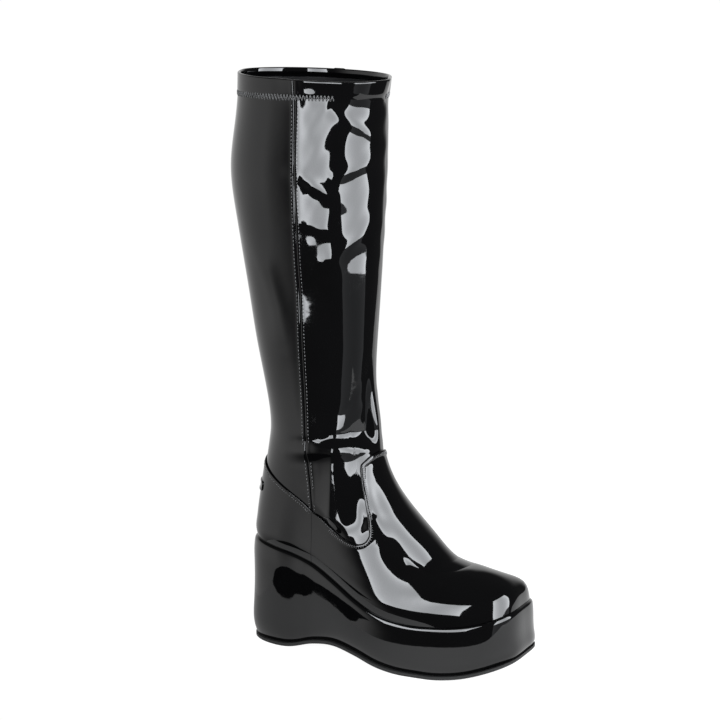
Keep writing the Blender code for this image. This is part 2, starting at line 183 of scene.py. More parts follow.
def camera_ray(tree):
    """1 where the camera itself looks, and 0 in every mirror."""
    return Look(tree, tree.nodes.new("ShaderNodeLightPath").outputs["Is Camera Ray"])


white_table, table_shader, table_place = new_finish(
    "white floor", Base_Color=grey(TABLE_WHITE), Roughness=MATT, Emission_Strength=1)
# painted light: the mirrored glow rises from its heel value to its toe value along the foot
painted_toe_light = table_place.node("ShaderNodeSeparateXYZ", Vector=table_place).step(*TOE_GLOW)
mirrored = painted_toe_light * (MIRRORED_AT_TOE - MIRRORED_AT_HEEL) + MIRRORED_AT_HEEL
seen = camera_ray(white_table.node_tree)
feed(table_shader, "Emission Color", seen * TABLE_SEEN + (1 - seen) * mirrored)
floor = flat_sheet("floor", TABLE_LOW, TABLE_HIGH, white_table)
print("table of", [round(side, 2) for side in floor.dimensions])

# %% Paper and room
PAPER, ROOM = 0.72, 0.045
PAPER_TURN = math.radians(160)
# the paper's edges are soft, each between two parts of a direction that is 1 long
PAPER_EDGE = (-0.05, 0.42)
PAPER_FOOT, PAPER_TOP = (-0.75, -0.15), (0.35, 0.65)
CLEAR_WHITE = 1.02

scene.view_settings.view_transform = "Standard"
world = bpy.data.worlds.new("studio")
scene.world = world
world.use_nodes = True
sky = world.node_tree
background = sky.nodes["Background"]
background.inputs["Color"].default_value = grey(1)
direction = Look(sky, sky.nodes.new("ShaderNodeTexCoord").outputs["Generated"])
along_x = direction.node("ShaderNodeSeparateXYZ", Vector=direction)
along_y, along_z = (Look(sky, along_x.socket.node.outputs[axis]) for axis in "YZ")
behind = along_x * math.cos(PAPER_TURN) + along_y * math.sin(PAPER_TURN)
paper = behind.step(*PAPER_EDGE) * along_z.step(*PAPER_FOOT) * (1 - along_z.step(*PAPER_TOP))
surround = paper * (PAPER - ROOM) + ROOM
feed(background, "Strength", surround.maths("MAXIMUM", camera_ray(sky) * CLEAR_WHITE, surround))
print("paper of", PAPER, "in a room of", ROOM)

# %% [markdown]
# ## Card and softboxes
# A black card lies in front of the table, out of the picture, and puts a dark patch on the wedge,
# as a photographer does to give a glossy thing depth. The softboxes are area lights hidden from
# the camera. A tube stands at each side of a box, so its cover is brighter there, and this soft
# change within each highlight is what makes it look like a lamp and not like white paint.

# %% Black card
CARD_LOW, CARD_HIGH = (-0.13, -0.27), (-0.02, -0.148)
CARD_BLACK = 0.01

black_card, _, _ = new_finish(
    "black card", Base_Color=grey(CARD_BLACK), Roughness=MATT, Specular_IOR_Level=0)
card = flat_sheet("black_card", CARD_LOW, CARD_HIGH, black_card)
card.visible_camera = False
print("card of", [round(side, 2) for side in card.dimensions])

# %% Softboxes
BOX_DISTANCE = 0.85
BOX_COLOUR = (0.93, 0.96, 1.0)
MIDDLE_GLOW, TUBE_GLOW = 0.78, 1.35


def softbox(name, turn, half_angle, low, high, radiance):
    """Upright area light that faces the boot; turn and half angle are in degrees about it."""
    turn = math.radians(turn)
    towards = Vector((math.cos(turn), math.sin(turn), 0))
    spot = towards * BOX_DISTANCE + Vector((CAMERA_AIM.x, 0, (low + high) / 2))
    bpy.ops.object.light_add(type="AREA", location=spot)
    light = bpy.context.object
    light.name = name
    light.rotation_euler = towards.to_track_quat("Z", "Y").to_euler()
    light.visible_camera = False
    lamp = light.data
    lamp.shape = "RECTANGLE"
    lamp.size = 2 * BOX_DISTANCE * math.tan(math.radians(half_angle))
    lamp.size_y = high - low
    lamp.color = BOX_COLOUR
    lamp.energy = radiance * math.pi * lamp.size * lamp.size_y
    lamp.use_nodes = True
    tree = lamp.node_tree
    cover = Look(tree, tree.nodes.new("ShaderNodeNewGeometry").outputs["Parametric"])
    off_middle = cover.node("ShaderNodeSeparateXYZ", Vector=cover) * 2 - 1
    glow = off_middle * off_middle * (TUBE_GLOW - MIDDLE_GLOW) + MIDDLE_GLOW
    feed(tree.nodes["Emission"], "Strength", glow)


softbox("softbox_side", -91, 12.6, 0.115, 1.05, radiance=8.0)
softbox("softbox_toe", -12, 27, 0.09, 1.32, radiance=8.0)
softbox("low_card_toe", -12, 27, -0.35, 0.085, radiance=0.3)
print("two softboxes and a pale card under one")

# %% [markdown]
# ## Finishes
# Patent is leather under a clear lacquer, poured on so thick that it is a black mirror. Here the
# base itself is almost black and very smooth, and the shader's coat adds a thin second gloss. The
# roughness changes a little from place to place, and a faint bump keeps the mirror from looking
# like glass. The other finishes are made the same way, each where its piece is made.

# %% Black patent
PATENT_GREY = 0.001
PATENT_TONE, PATENT_GLOSS, PATENT_RIPPLE = 30 * MM, 6 * MM, 9 * MM


def noise(place, size, detail=2.0):
    """Cloudy noise whose blobs have about the given size."""
    return place.node("ShaderNodeTexNoise", Vector=place, Scale=1 / size, Detail=detail)


def two_tone(share, dark, light):
    """Colour that goes from dark to light with a share from 0 to 1."""
    return share.node("ShaderNodeMix", {"data_type": "RGBA"}, out=2, Factor=share, A=dark, B=light)


def dress(shader, colour, roughness, height=None, depth=0.0):
    """Give a finish its colour, its roughness and a grain that is so many metres deep."""
    feed(shader, "Base Color", colour)
    feed(shader, "Roughness", roughness)
    if height is not None:
        feed(shader, "Normal", height.node("ShaderNodeBump", Height=height, Distance=depth))


black_patent, patent_shader, patent_place = new_finish(
    "black patent", Coat_Weight=0.3, Coat_Roughness=0.02)
patent_colour = two_tone(
    noise(patent_place, PATENT_TONE),
    grey(PATENT_GREY, blue=1.1 * PATENT_GREY), grey(1.6 * PATENT_GREY, blue=1.8 * PATENT_GREY))
dress(patent_shader, patent_colour, noise(patent_place, PATENT_GLOSS) * 0.03 + 0.025,
      noise(patent_place, PATENT_RIPPLE, detail=1.0), 0.05 * MM)
print("black patent ready")

# %% [markdown]
# ## Reading the last
# A shoemaker works on a last, the form inside the shoe. The frame's upper was made of rings round
# that form, so its outer wall is a grid of points. The rings are read back from the collar down:
# a point of the next ring is the one that two neighbours of this ring share. Curves of even
# curvature through the grid then give the wall at any fineness, and every panel, seam and stitch
# can be laid on it by its row and column.

# %% Merge a copy of a node
MERGE = 1e-6


def select_only(piece):
    bpy.ops.object.select_all(action="DESELECT")
    piece.select_set(True)
    bpy.context.view_layer.objects.active = piece


def edit_all(piece, operator, **settings):
    """Run an operator of edit mode on a whole mesh."""
    select_only(piece)
    bpy.ops.object.mode_set(mode="EDIT")
    bpy.ops.mesh.select_all(action="SELECT")
    operator(**settings)
    bpy.ops.object.mode_set(mode="OBJECT")


def merged_copy(node, name):
    """A copy of a CAD node, its loose triangles merged into one mesh."""
    piece = bpy.data.objects.new(name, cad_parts[node].data.copy())
    scene.collection.objects.link(piece)
    edit_all(piece, bpy.ops.mesh.remove_doubles, threshold=MERGE)
    bpy.ops.mesh.customdata_custom_splitnormals_clear()
    return piece


# %% Loops of sharp edges
def girth(loop):
    return sum((a.co - b.co).length for a, b in zip(loop, loop[1:] + loop[:1]))


def mean_height(loop):
    return sum(vertex.co.z for vertex in loop) / len(loop)


def closed_loops(edges):
    """Vertices of closed chains of edges, in order, the longest chain first."""
    joined = {}
    for edge in edges:
        first, second = edge.verts
        joined.setdefault(first, []).append(second)
        joined.setdefault(second, []).append(first)
    loops = []
    while joined:
        loop = []
        onward = [next(iter(joined))]
        while onward:
            loop.append(onward[0])
            onward = [vertex for vertex in joined.pop(loop[-1]) if vertex in joined]
        loops.append(loop)
    return sorted(loops, key=girth, reverse=True)


# %% From one ring to the next
SHARP = math.radians(35)
SAME_LEVEL = 1 * MM


def end_loops(body, from_top, band):
    """The sharp rings at the top or the bottom of a lofted body that have the most points."""
    end = max if from_top else min
    level = end(vertex.co.z for vertex in body.verts)
    sharp = [edge for edge in body.edges if edge.calc_face_angle(0) > SHARP
             and all(abs(vertex.co.z - level) < band for vertex in edge.verts)]
    loops = closed_loops(sharp)
    most = max(len(loop) for loop in loops)
    loops = [loop for loop in loops if len(loop) == most]
    level = end(mean_height(loop) for loop in loops)
    return [loop for loop in loops if abs(mean_height(loop) - level) < SAME_LEVEL]


def next_ring(ring, near, seen):
    """The ring beside this one, each point of which is near two neighbours of this ring."""
    onward = [next(iter((near[here] & near[after]) - seen))
              for here, after in zip(ring, ring[1:] + ring[:1])]
    turned = onward[-1:] + onward[:-1]
    return min((onward, turned), key=lambda choice: sum(
        (a.co - b.co).length for a, b in zip(ring, choice)))


# %% Rings of a lofted node
RIM_BAND = 4 * MM
UPPER_ROWS = 26


def read_rings(node, count, from_top, band=math.inf):
    """Rings of a lofted node, from its highest or lowest sharp ring on, as rows, columns, places."""
    copy = merged_copy(node, "rings")
    body = bmesh.new()
    body.from_mesh(copy.data)
    near = {vertex: {edge.other_vert(vertex) for edge in vertex.link_edges} for vertex in body.verts}
    loops = end_loops(body, from_top, band)
    seen = {vertex for loop in loops for vertex in loop}
    rings = loops[:1]
    while len(rings) < count:
        rings.append(next_ring(rings[-1], near, seen))
        seen.update(rings[-1])
    grid = np.array([[vertex.co[:] for vertex in ring] for ring in rings])
    body.free()
    bpy.data.objects.remove(copy)
    return grid


def from_toe(grid):
    """The same grid with column 0 at the toe's middle and the outer side first."""
    grid = np.roll(grid, -int(np.argmax(grid[0, :, 0])), axis=1)
    if grid[0, len(grid[0]) // 4, 1] > 0:
        grid = np.roll(grid[:, ::-1], 1, axis=1)
    return grid


wall = from_toe(read_rings("upper", UPPER_ROWS, from_top=True, band=RIM_BAND))[::-1]
print("wall of", wall.shape[:2], "points")

# %% [markdown]
# ## The smooth wall
# The grid has extra columns at both edges of the side seam and of the zip's recess. They are left
# out of the smooth wall, and recess and seam are pressed into it again further down. Straight
# lines between the points would show as facets in the mirror, and curves that only share their
# slopes would still show a kink, so the curves here share their curvature as well.

# %% Columns that are kept
RECESS_COLUMNS = (17, 19, 37, 38, 39)
kept = [column for column in range(wall.shape[1]) if column not in RECESS_COLUMNS]
wall = wall[:, kept]
COLUMNS = len(kept)
SEAM = 17.0                 # column of the side seam
SEAM_STEP = 7.5 * MM        # from there to the next column
HEEL = 26.0
ZIP = 34.5
ZIP_STEP = 15.0 * MM        # between the columns on both sides of the zip
FOOT_ROWS = 17              # rows from the feather edge to the ankle
PANEL_ROW = 12              # the frame's row along the top edge of vamp and counter
COLLAR_ROW = UPPER_ROWS - 1.0
print("smooth wall with", COLUMNS, "columns")


# %% Curves of even curvature
def slopes(points, steps, closed):
    """Slopes at the points of curves whose curvature doesn't jump."""
    curves, count = points.shape[:2]
    rates = np.diff(points, axis=1) / steps[..., None]
    matrix = np.zeros((curves, count, count))
    right = np.zeros(points.shape)
    inner = np.arange(1, count - 1)
    before, after = steps[:, inner - 1], steps[:, inner]
    matrix[:, inner, inner - 1] = after
    matrix[:, inner, inner] = 2 * (before + after)
    matrix[:, inner, inner + 1] = before
    right[:, inner] = 3 * (after[..., None] * rates[:, inner - 1]
                           + before[..., None] * rates[:, inner])
    if closed:
        before, after = steps[:, -1], steps[:, 0]
        matrix[:, 0, -2] = after
        matrix[:, 0, 0] = 2 * (before + after)
        matrix[:, 0, 1] = before
        right[:, 0] = 3 * (after[:, None] * rates[:, -1] + before[:, None] * rates[:, 0])
        matrix[:, -1, 0] = 1
        matrix[:, -1, -1] = -1
    else:
        matrix[:, 0, :2] = 2, 1
        matrix[:, -1, -2:] = 1, 2
        right[:, 0] = 3 * rates[:, 0]
        right[:, -1] = 3 * rates[:, -1]
    return np.linalg.solve(matrix, right)


# %% Points on such curves
def smooth_curves(points, places, closed=False):
    """Points on smooth curves through rows of points, at fractional places along each."""
    if closed:
        points = np.concatenate([points, points[:, :1]], axis=1)
        places = np.mod(places, points.shape[1] - 1)
    steps = np.linalg.norm(np.diff(points, axis=1), axis=2)
    slope = slopes(points, steps, closed)
    step = np.clip(np.floor(places).astype(int), 0, points.shape[1] - 2)
    curve = np.arange(len(points))[:, None]
    t = (places - step)[..., None]
    width = steps[curve, step][..., None]
    start = (1 + 2 * t) * (1 - t) ** 2 * points[curve, step]
    start += t * (1 - t) ** 2 * width * slope[curve, step]
    end = t * t * (3 - 2 * t) * points[curve, step + 1]
    return start + end - t * t * (1 - t) * width * slope[curve, step + 1]


# %% Points of the wall
TINY = 0.02                 # of a row or column, to either side, for a direction


def rings_at(grid, columns):
    """Every ring of a grid at other columns."""
    return smooth_curves(grid, np.tile(columns, (len(grid), 1)), closed=True)


def bare_wall(rows, columns):
    """Points of the wall; every column has its own list of rows."""
    rows = np.broadcast_to(rows, (len(columns), np.shape(rows)[-1]))
    return smooth_curves(rings_at(wall, columns).transpose(1, 0, 2), rows)


def unit(vectors):
    return vectors / np.linalg.norm(vectors, axis=-1, keepdims=True)


def wall_and_normals(rows, columns):
    """Points of the wall and the directions straight out of it."""
    columns = np.asarray(columns, float)
    rows = np.broadcast_to(rows, (len(columns), np.shape(rows)[-1]))
    up = bare_wall(np.minimum(rows + TINY, COLLAR_ROW), columns)
    up -= bare_wall(np.maximum(rows - TINY, 0), columns)
    round_it = bare_wall(rows, columns + TINY) - bare_wall(rows, columns - TINY)
    return bare_wall(rows, columns), unit(np.cross(up, round_it))


# %% [markdown]
# ## Even rows
# On the foot the frame's rows follow the dipped edge of the vamp, so they crowd there. The wall is
# easier to smooth when its rows are spaced evenly up each column, and the edge is then a line
# across those rows. It is kept as a curve, and looked up on the even wall where it is needed. The
# frame's foot also meets its ankle in a faint ledge, which is eased up the columns.

# %% Even rows on the foot
edge_ring = wall[PANEL_ROW:PANEL_ROW + 1].copy()
old_rows = np.linspace(0, FOOT_ROWS, 401)
foot_columns = smooth_curves(wall.transpose(1, 0, 2), np.tile(old_rows, (COLUMNS, 1)))
foot_steps = np.diff(foot_columns, axis=1, prepend=foot_columns[:, :1])
foot_reach = np.cumsum(np.linalg.norm(foot_steps, axis=2), axis=1)
even_shares = np.arange(FOOT_ROWS + 1) / FOOT_ROWS
even_rows = np.array([np.interp(even_shares * reach[-1], reach, old_rows) for reach in foot_reach])
wall[:FOOT_ROWS + 1] = smooth_curves(wall.transpose(1, 0, 2), even_rows).transpose(1, 0, 2)
print("foot's columns are", np.round(foot_reach[:, -1].min() / MM), "mm long or more")

# %% Ease the ledge at the ankle
EASE_ROUNDS = 9
EASE_BY_ROW = (0, 0, 0.25, 0.8, 1, 1, 1, 1, 1, 0.8, 0.5, 0.2)
EASE_FROM_TOE, EASE_COLUMNS = 5, 4

eased = len(EASE_BY_ROW)
from_toe_column = np.minimum(np.arange(COLUMNS), COLUMNS - np.arange(COLUMNS))
ease_by_column = np.clip((from_toe_column - EASE_FROM_TOE) / EASE_COLUMNS, 0, 1)
ease_share = 0.5 * np.array(EASE_BY_ROW)[1:, None, None] * ease_by_column[:, None]
for _ in range(EASE_ROUNDS):
    middle = (wall[:eased - 1] + wall[2:eased + 1]) / 2
    wall[1:eased] += (middle - wall[1:eased]) * ease_share
print(eased - 1, "rows eased")


# %% The panels' edge on the even wall
def edge_curve(columns):
    """Points on the top edge of vamp and counter."""
    return rings_at(edge_ring, np.asarray(columns, float))[0]


def edge_rows(columns):
    """Rows of the even wall at which its columns meet that edge."""
    fine = np.linspace(0, FOOT_ROWS, 1701)
    lines = bare_wall(fine, np.asarray(columns, float))
    rows = []
    for line, spot in zip(lines, edge_curve(columns)):
        nearest = int(np.clip(np.argmin(((line - spot) ** 2).sum(axis=1)), 1, len(fine) - 2))
        way = line[nearest + 1] - line[nearest - 1]
        rows.append(fine[nearest] + (spot - line[nearest]) @ way / (way @ way) * 2 * fine[1])
    return np.array(rows)


# %% [markdown]
# ## Dip and lean
# The collar of a worn boot is not level: it dips at the outer side and at the shin. The shaft also
# leans back a little, apart from the zip's side, where the frame's slider holds it.

# %% The collar's dip and the shaft's lean
DIP_START, DIP_SPAN = 430 * MM, 60 * MM
DIP_OUTER, DIP_OUTER_HALF = 1.8 * MM, 45 * MM
DIP_FRONT, DIP_FRONT_START, DIP_FRONT_SPAN = 1.6 * MM, 40 * MM, 70 * MM
LEAN = 0.9 * MM
LEAN_HEIGHTS, LEAN_ACROSS = (230, 290), (35, 10)


def ease(share):
    """Soft step from 0 to 1."""
    share = np.clip(share, 0, 1)
    return share * share * (3 - 2 * share)


def rising(place, span):
    """Soft step between two places in millimetres, from 0 at the first to 1 at the second."""
    first, second = span
    return ease((place / MM - first) / (second - first))


x, y, z = np.moveaxis(wall, -1, 0)
dip = DIP_OUTER * np.clip(-y / DIP_OUTER_HALF, 0, 1)
dip += DIP_FRONT * (x - DIP_FRONT_START) / DIP_FRONT_SPAN
wall[..., 2] -= dip * np.clip((z - DIP_START) / DIP_SPAN, 0, 1) ** 2
wall[..., 0] -= LEAN * rising(wall[..., 2], LEAN_HEIGHTS) * rising(y, LEAN_ACROSS)
print("collar dips by", round(dip.max() / MM, 1), "mm at most")

# %% [markdown]
# ## Flats
# Leather that has been worn and boxed isn't evenly round. On the outer side the shaft is flat from
# the side seam to a soft vertical edge, and so is the ankle. Both are given as slopes across the
# boot: where the slope rises the wall leaves its round form, and the mirror shows it at once.
# Above the ankle's roll the wall is drawn in, most at the shin.

# %% Values of the flats
# places along the foot in mm, and the slope that is added to the wall there
SHAFT_SLOPES = ((-25, 0), (0, -0.07), (18, -0.06), (30, 0.02), (38, 0.05), (43, 0.05), (50, 0.09),
                (60, 0.14), (68, 0.19), (72, 0.17), (78, 0.0), (84, -0.06), (94, -0.05), (100, 0))
ANKLE_SLOPES = ((30, 0), (45, 0.02), (55, 0.1), (61, 0.24), (64, 0.33), (65.5, 0.33), (66.5, -0.12),
                (72, -0.28), (79, -0.32), (86, -0.16), (96, 0))
OUTER_SIDE = (4, -8)        # places across the boot between which the flats begin
SHAFT_FADE = (265, 325)     # heights between which the shaft's flat grows
ANKLE_FADE = (186, 215)
ANKLE_GROWTH = 12           # mm above the panels' edge over which the ankle's flat grows
PANEL_EDGE = ((30, 136), (48, 124), (65, 113), (82, 105), (95, 108), (104, 118))
HOLLOW, HOLLOW_REACH, HOLLOW_SPOT = -2.5, 15, (93, -30, 128)
TUCK, TUCK_AT_SHIN = -6.5, 0.45
TUCK_GROWS, TUCK_ENDS, TUCK_FADE = (177, 193), 262, 1.5
TUCK_ALONG, TUCK_ACROSS, TUCK_SHIN = (46, 68), (7, -7), (64, 82)
# the soft edge leans: its shift along the foot at some heights
EDGE_HEIGHTS = (340, 390, 412, 433, 467)
EDGE_SHIFTS = (-6, -5, -2, 2, 4)
SHIFT_ALONG = (40, 70)


# %% Flats of shaft and ankle
def from_slopes(slopes, x):
    """Rise at places along the foot, summed up from slopes; it is zero at both ends."""
    places, values = np.array(slopes, float).T
    fine = np.linspace(places[0], places[-1], 400)
    step = fine[1] - fine[0]
    rise = np.cumsum(np.interp(fine, places, values)) * step
    rise -= rise[-1] * (fine - fine[0]) / (fine[-1] - fine[0])
    return np.interp(x / MM, fine, rise) * MM


def tuck(x, y, z):
    """How far the wall is drawn in above the ankle's roll."""
    depth = TUCK * MM * rising(z, TUCK_GROWS) * rising(x, TUCK_ALONG) * rising(y, TUCK_ACROSS)
    upward = np.clip((z / MM - TUCK_GROWS[1]) / (TUCK_ENDS - TUCK_GROWS[1]), 0, 1)
    return depth * (1 - upward) ** TUCK_FADE * (1 + TUCK_AT_SHIN * rising(x, TUCK_SHIN))


def flats(points):
    """Rise of the flat parts of shaft and ankle, on the outer side."""
    x, y, z = np.moveaxis(points, -1, 0)
    shift = np.interp(z / MM, EDGE_HEIGHTS, EDGE_SHIFTS) * MM
    shaft = from_slopes(SHAFT_SLOPES, x - shift * rising(x, SHIFT_ALONG)) * rising(z, SHAFT_FADE)
    ankle = from_slopes(ANKLE_SLOPES, x)
    from_spot = np.linalg.norm(points / MM - np.array(HOLLOW_SPOT), axis=-1)
    ankle += HOLLOW * MM * np.exp(-(from_spot / HOLLOW_REACH) ** 2)
    edge_height = np.interp(x / MM, *np.array(PANEL_EDGE, float).T)
    ankle *= ease((z / MM - edge_height) / ANKLE_GROWTH) * (1 - rising(z, ANKLE_FADE))
    return (shaft + ankle + tuck(x, y, z)) * rising(y, OUTER_SIDE)


# %% [markdown]
# ## Folds
# The creases are given as lines on the boot with a height and a half width in
# millimetres: a ridge has a positive height and a trough a negative one, and both fade out at
# their ends. Sculpting could give the same, but lines can be read and moved one at a time.

# %% Folds given as lines
FOLDS = (
    # the roll above the ankle and what surrounds it
    (1.7, 5.0, ((22, -36, 173), (40, -38, 176), (58, -36, 180), (74, -29, 182), (90, -14, 178))),
    (-1.3, 3.4, ((30, -37, 184), (48, -38, 187), (64, -34, 190), (80, -24, 190))),
    (-0.4, 3.2, ((26, -36, 164), (48, -37, 167), (68, -33, 170), (86, -20, 170))),
    (0.2, 2.8, ((68, -33, 192), (77, -25, 198), (86, -14, 207), (91, -6, 226), (94, 0, 246))),
    (-0.2, 3.4, ((64, -35, 196), (72, -29, 208), (80, -21, 222), (88, -10, 244))),
    (0.2, 2.6, ((85, -15, 207), (90, -9, 195), (94, -3, 182))),
    # across the shaft's outer side and its shin
    (1.5, 5.5, ((35, -50, 414), (46, -50, 410), (57, -47, 404), (74, -39, 394))),
    (0.45, 5.0, ((37, -49, 375), (48, -48, 372), (66, -42, 366))),
    (1.9, 5.5, ((66, -42, 467), (80, -31, 456), (96, -10, 441))),
    (1.7, 5.5, ((66, -41, 408), (80, -30, 416), (96, -10, 428))),
    (1.6, 6.0, ((62, -40, 338), (76, -30, 352), (92, -10, 376))),
    (1.4, 9.0, ((-6, -30, 360), (8, -42, 330), (18, -42, 298), (24, -38, 262))),
    # the inner side
    (1.3, 5.0, ((30, 40, 182), (52, 38, 178), (72, 32, 178), (90, 14, 180))),
    (-0.9, 4.0, ((36, 40, 192), (56, 37, 189), (74, 30, 190))),
    (1.0, 5.0, ((62, 35, 196), (74, 28, 208), (84, 16, 222))),
    (0.8, 7.0, ((44, 50, 402), (60, 46, 398), (78, 32, 396))),
    (0.7, 7.0, ((42, 48, 352), (58, 44, 346), (76, 30, 340))),
    # down the instep, and across the toes
    (2.9, 8.0, ((88, -21, 168), (93, -26, 150), (99, -31, 132), (108, -35, 117), (115, -38, 105))),
    (-1.2, 8.0, ((164, -18, 81), (167, -6, 84), (168, 6, 84), (166, 24, 78))),
    (0.6, 3.5, ((174, -22, 78), (177, -6, 82), (177, 10, 80))),
)
print(len(FOLDS), "folds")

# %% Rise of a fold
FOLD_ENDS = (0.04, 0.96)    # shares of its length between which a fold fades in and out
FOLD_FADE = 0.7


def fold(points, height, half_width, line):
    """Rise of one fold at each point, in metres."""
    line = np.array(line, float) * MM
    nearest = np.full(points.shape[:-1], np.inf)
    fade = np.zeros(points.shape[:-1])
    lengths = np.linalg.norm(np.diff(line, axis=0), axis=1)
    starts = np.append(0, np.cumsum(lengths))
    for index, length in enumerate(lengths):
        way = (line[index + 1] - line[index]) / length
        run = np.clip((points - line[index]) @ way, 0, length)
        gap = np.linalg.norm(points - line[index] - run[..., None] * way, axis=-1)
        share = np.clip((starts[index] + run) / starts[-1], *FOLD_ENDS)
        closer = gap < nearest
        nearest = np.where(closer, gap, nearest)
        fade = np.where(closer, np.sin(np.pi * share) ** FOLD_FADE, fade)
    return height * MM * fade * np.exp(-(nearest / (half_width * MM)) ** 2)


# %% [markdown]
# ## Flare and waves
# The stitched collar is stretched, so the shaft opens a little towards its rim. Slow waves leave
# the rest of the shaft slightly uneven, so that no mirrored edge is ruled.

# %% Flare of the collar and slow waves
FLARE, FLARE_SHIN = 2.4 * MM, 3.2 * MM
FLARE_HEIGHTS, FLARE_CURVE = (463, 489), 1.3
FLARE_ALONG, FLARE_ACROSS, FLARE_SHIN_ALONG = (20, 50), (12, -8), (70, 90)
WAVE = 0.2 * MM
WAVE_LENGTHS = (31 * MM, 43 * MM, 24 * MM)
WAVE_HEIGHTS, WAVE_ALONG = (300, 380), (42, 56)


def flare(points):
    """Rise towards the rim, with more of it at the shin."""
    x, y, z = np.moveaxis(points, -1, 0)
    low, high = FLARE_HEIGHTS
    share = np.clip((z / MM - low) / (high - low), 0, 1) ** FLARE_CURVE
    front = rising(x, FLARE_ALONG) * rising(y, FLARE_ACROSS)
    return share * front * (FLARE + FLARE_SHIN * rising(x, FLARE_SHIN_ALONG))


def waves(points):
    """Two crossed patterns of waves up and along the shaft."""
    x, y, z = np.moveaxis(points, -1, 0)
    first, second, third = (2 * np.pi / length for length in WAVE_LENGTHS)
    height = np.sin(first * z + 0.6 * second * x) * np.sin(second * (x - y) + 1.2)
    height += 0.6 * np.sin(third * z - second * x + 2.0) * np.sin(first * (x + 0.6 * y))
    return WAVE * height * rising(z, WAVE_HEIGHTS) * rising(x, WAVE_ALONG)


def relief(points):
    """How far flats, folds, flare and waves move each point of the wall out or in."""
    return flats(points) + flare(points) + waves(points) + sum(fold(points, *row) for row in FOLDS)


# %% [markdown]
# ## Skins from a grid
# A wall of leather is a closed loft: a profile runs up its outer face, over its edge and down its
# inner face, and is carried round the boot. The faces come straight from the grid's order, so there
# is no stray edge for the mirror to show.

# %% A new piece
def tidy_mesh(piece, finish):
    """Face a new mesh outwards, smooth it up to its sharp edges and give it its finish."""
    edit_all(piece, bpy.ops.mesh.normals_make_consistent, inside=False)
    bpy.ops.object.shade_smooth_by_angle(angle=SHARP)
    piece.data.materials.clear()
    piece.data.materials.append(finish)
    print(piece.name, len(piece.data.polygons), "faces")
    return piece


def new_piece(name, points, faces, finish):
    """Object of a mesh with the given points and faces."""
    mesh = bpy.data.meshes.new(name)
    mesh.from_pydata(points.reshape(-1, 3).tolist(), [], faces)
    piece = bpy.data.objects.new(name, mesh)
    scene.collection.objects.link(piece)
    return tidy_mesh(piece, finish)


def belongs(piece, slot, *nodes, body="boot"):
    """Say which body a piece moves with and hide the nodes it stands for; the slot is not used."""
    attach(piece, body)
    if nodes:
        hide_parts(*nodes)
    return piece


# %% Closed bodies from loops of points
def ladder(loop, shift):
    """Faces that cap a loop by joining its two sides, from the first point to the last."""
    count = len(loop)
    rungs = [(loop[i], loop[(-i - shift) % count]) for i in range((count + 2 - shift) // 2)]
    return [list(dict.fromkeys((a, c, d, b))) for (a, b), (c, d) in zip(rungs, rungs[1:])]


def strip_mesh(name, loops, closed, finish, mirror_cap=False):
    """Closed body from profile loops; an open strip gets a cap at each end."""
    count, size = loops.shape[:2]
    index = np.arange(count * size).reshape(count, size)
    following = np.roll(index, -1, axis=0) if closed else index[1:]
    here = index if closed else index[:-1]
    corners = (here, np.roll(here, -1, axis=1), np.roll(following, -1, axis=1), following)
    faces = np.stack(corners, axis=2).reshape(-1, 4).tolist()
    if not closed:
        for loop in (index[0], index[-1]):
            faces += ladder(loop, 0 if mirror_cap else 1)
    return new_piece(name, loops, faces, finish)


# %% [markdown]
# ## The upper
# Foot and shaft are one wall of lined patent, open at the collar and underneath. Under the vamp
# and the counter it is hidden, so few rows lie there, and most of them lie at the ankle, where the
# leather folds. The side seam is a pressed-open ridge with a groove, the hem at the collar is
# turned over and stitched down, and the rim is a half round, as a folded edge is.

# %% Rows and columns of the upper
CHANNEL_FLOOR = 6.5 * MM
HIDDEN_ROWS = 0.3           # rows below the panels' edge, where the hidden part ends
HEM_ROW = 23.6              # the rows are closer together from here up


def between(first, last, each):
    """Columns from first to last, with so many to each column of the grid."""
    return np.linspace(first, last, int(round((last - first) * each)) + 1)


def beside(middle, offsets, step):
    """Columns at both sides of a middle one, at offsets in millimetres."""
    offsets = np.array(offsets) * MM / step
    return np.concatenate([middle - offsets[::-1], [middle], middle + offsets])


upper_columns = np.concatenate([
    between(0, SEAM - 1, 4),
    beside(SEAM, (0.3, 0.7, 1.2, 2.0, 2.8, 3.4, 4.0, 5.4), SEAM_STEP),
    between(SEAM + 1, ZIP - 0.5, 4),
    beside(ZIP, (3.2, CHANNEL_FLOOR / MM), ZIP_STEP),
    between(ZIP + 0.5, COLUMNS, 4)[:-1],
])
shaft_rows = np.concatenate([
    np.linspace(FOOT_ROWS, HEM_ROW, 90)[:-1], np.linspace(HEM_ROW, COLLAR_ROW, 36)])
upper_rows = np.array([
    np.concatenate([np.linspace(0, row, 8)[:-1], np.linspace(row, FOOT_ROWS, 90)[:-1], shaft_rows])
    for row in edge_rows(upper_columns) - HIDDEN_ROWS])
print("upper of", upper_rows.shape, "points")

# %% Seam, hem and recess
CHANNEL_DEPTH = 1.0 * MM
SEAM_BAND, SEAM_BAND_RISE = 3.4 * MM, 0.18 * MM
SEAM_GROOVE, SEAM_GROOVE_DEPTH = 0.45 * MM, 0.55 * MM
HEM_Z, HEM_RISE, HEM_PULL = 474.5 * MM, 0.5 * MM, 0.3 * MM
HEM_STITCH_HALF = 2.9 * MM


def seam_profile(columns):
    """Rise of the pressed-open side seam, by column."""
    away = np.abs(np.mod(columns, COLUMNS) - SEAM) * SEAM_STEP
    band = SEAM_BAND_RISE * (1 - ease(away / (0.7 * SEAM_BAND) - 1))
    return band - SEAM_GROOVE_DEPTH * np.exp(-(away / SEAM_GROOVE) ** 2)


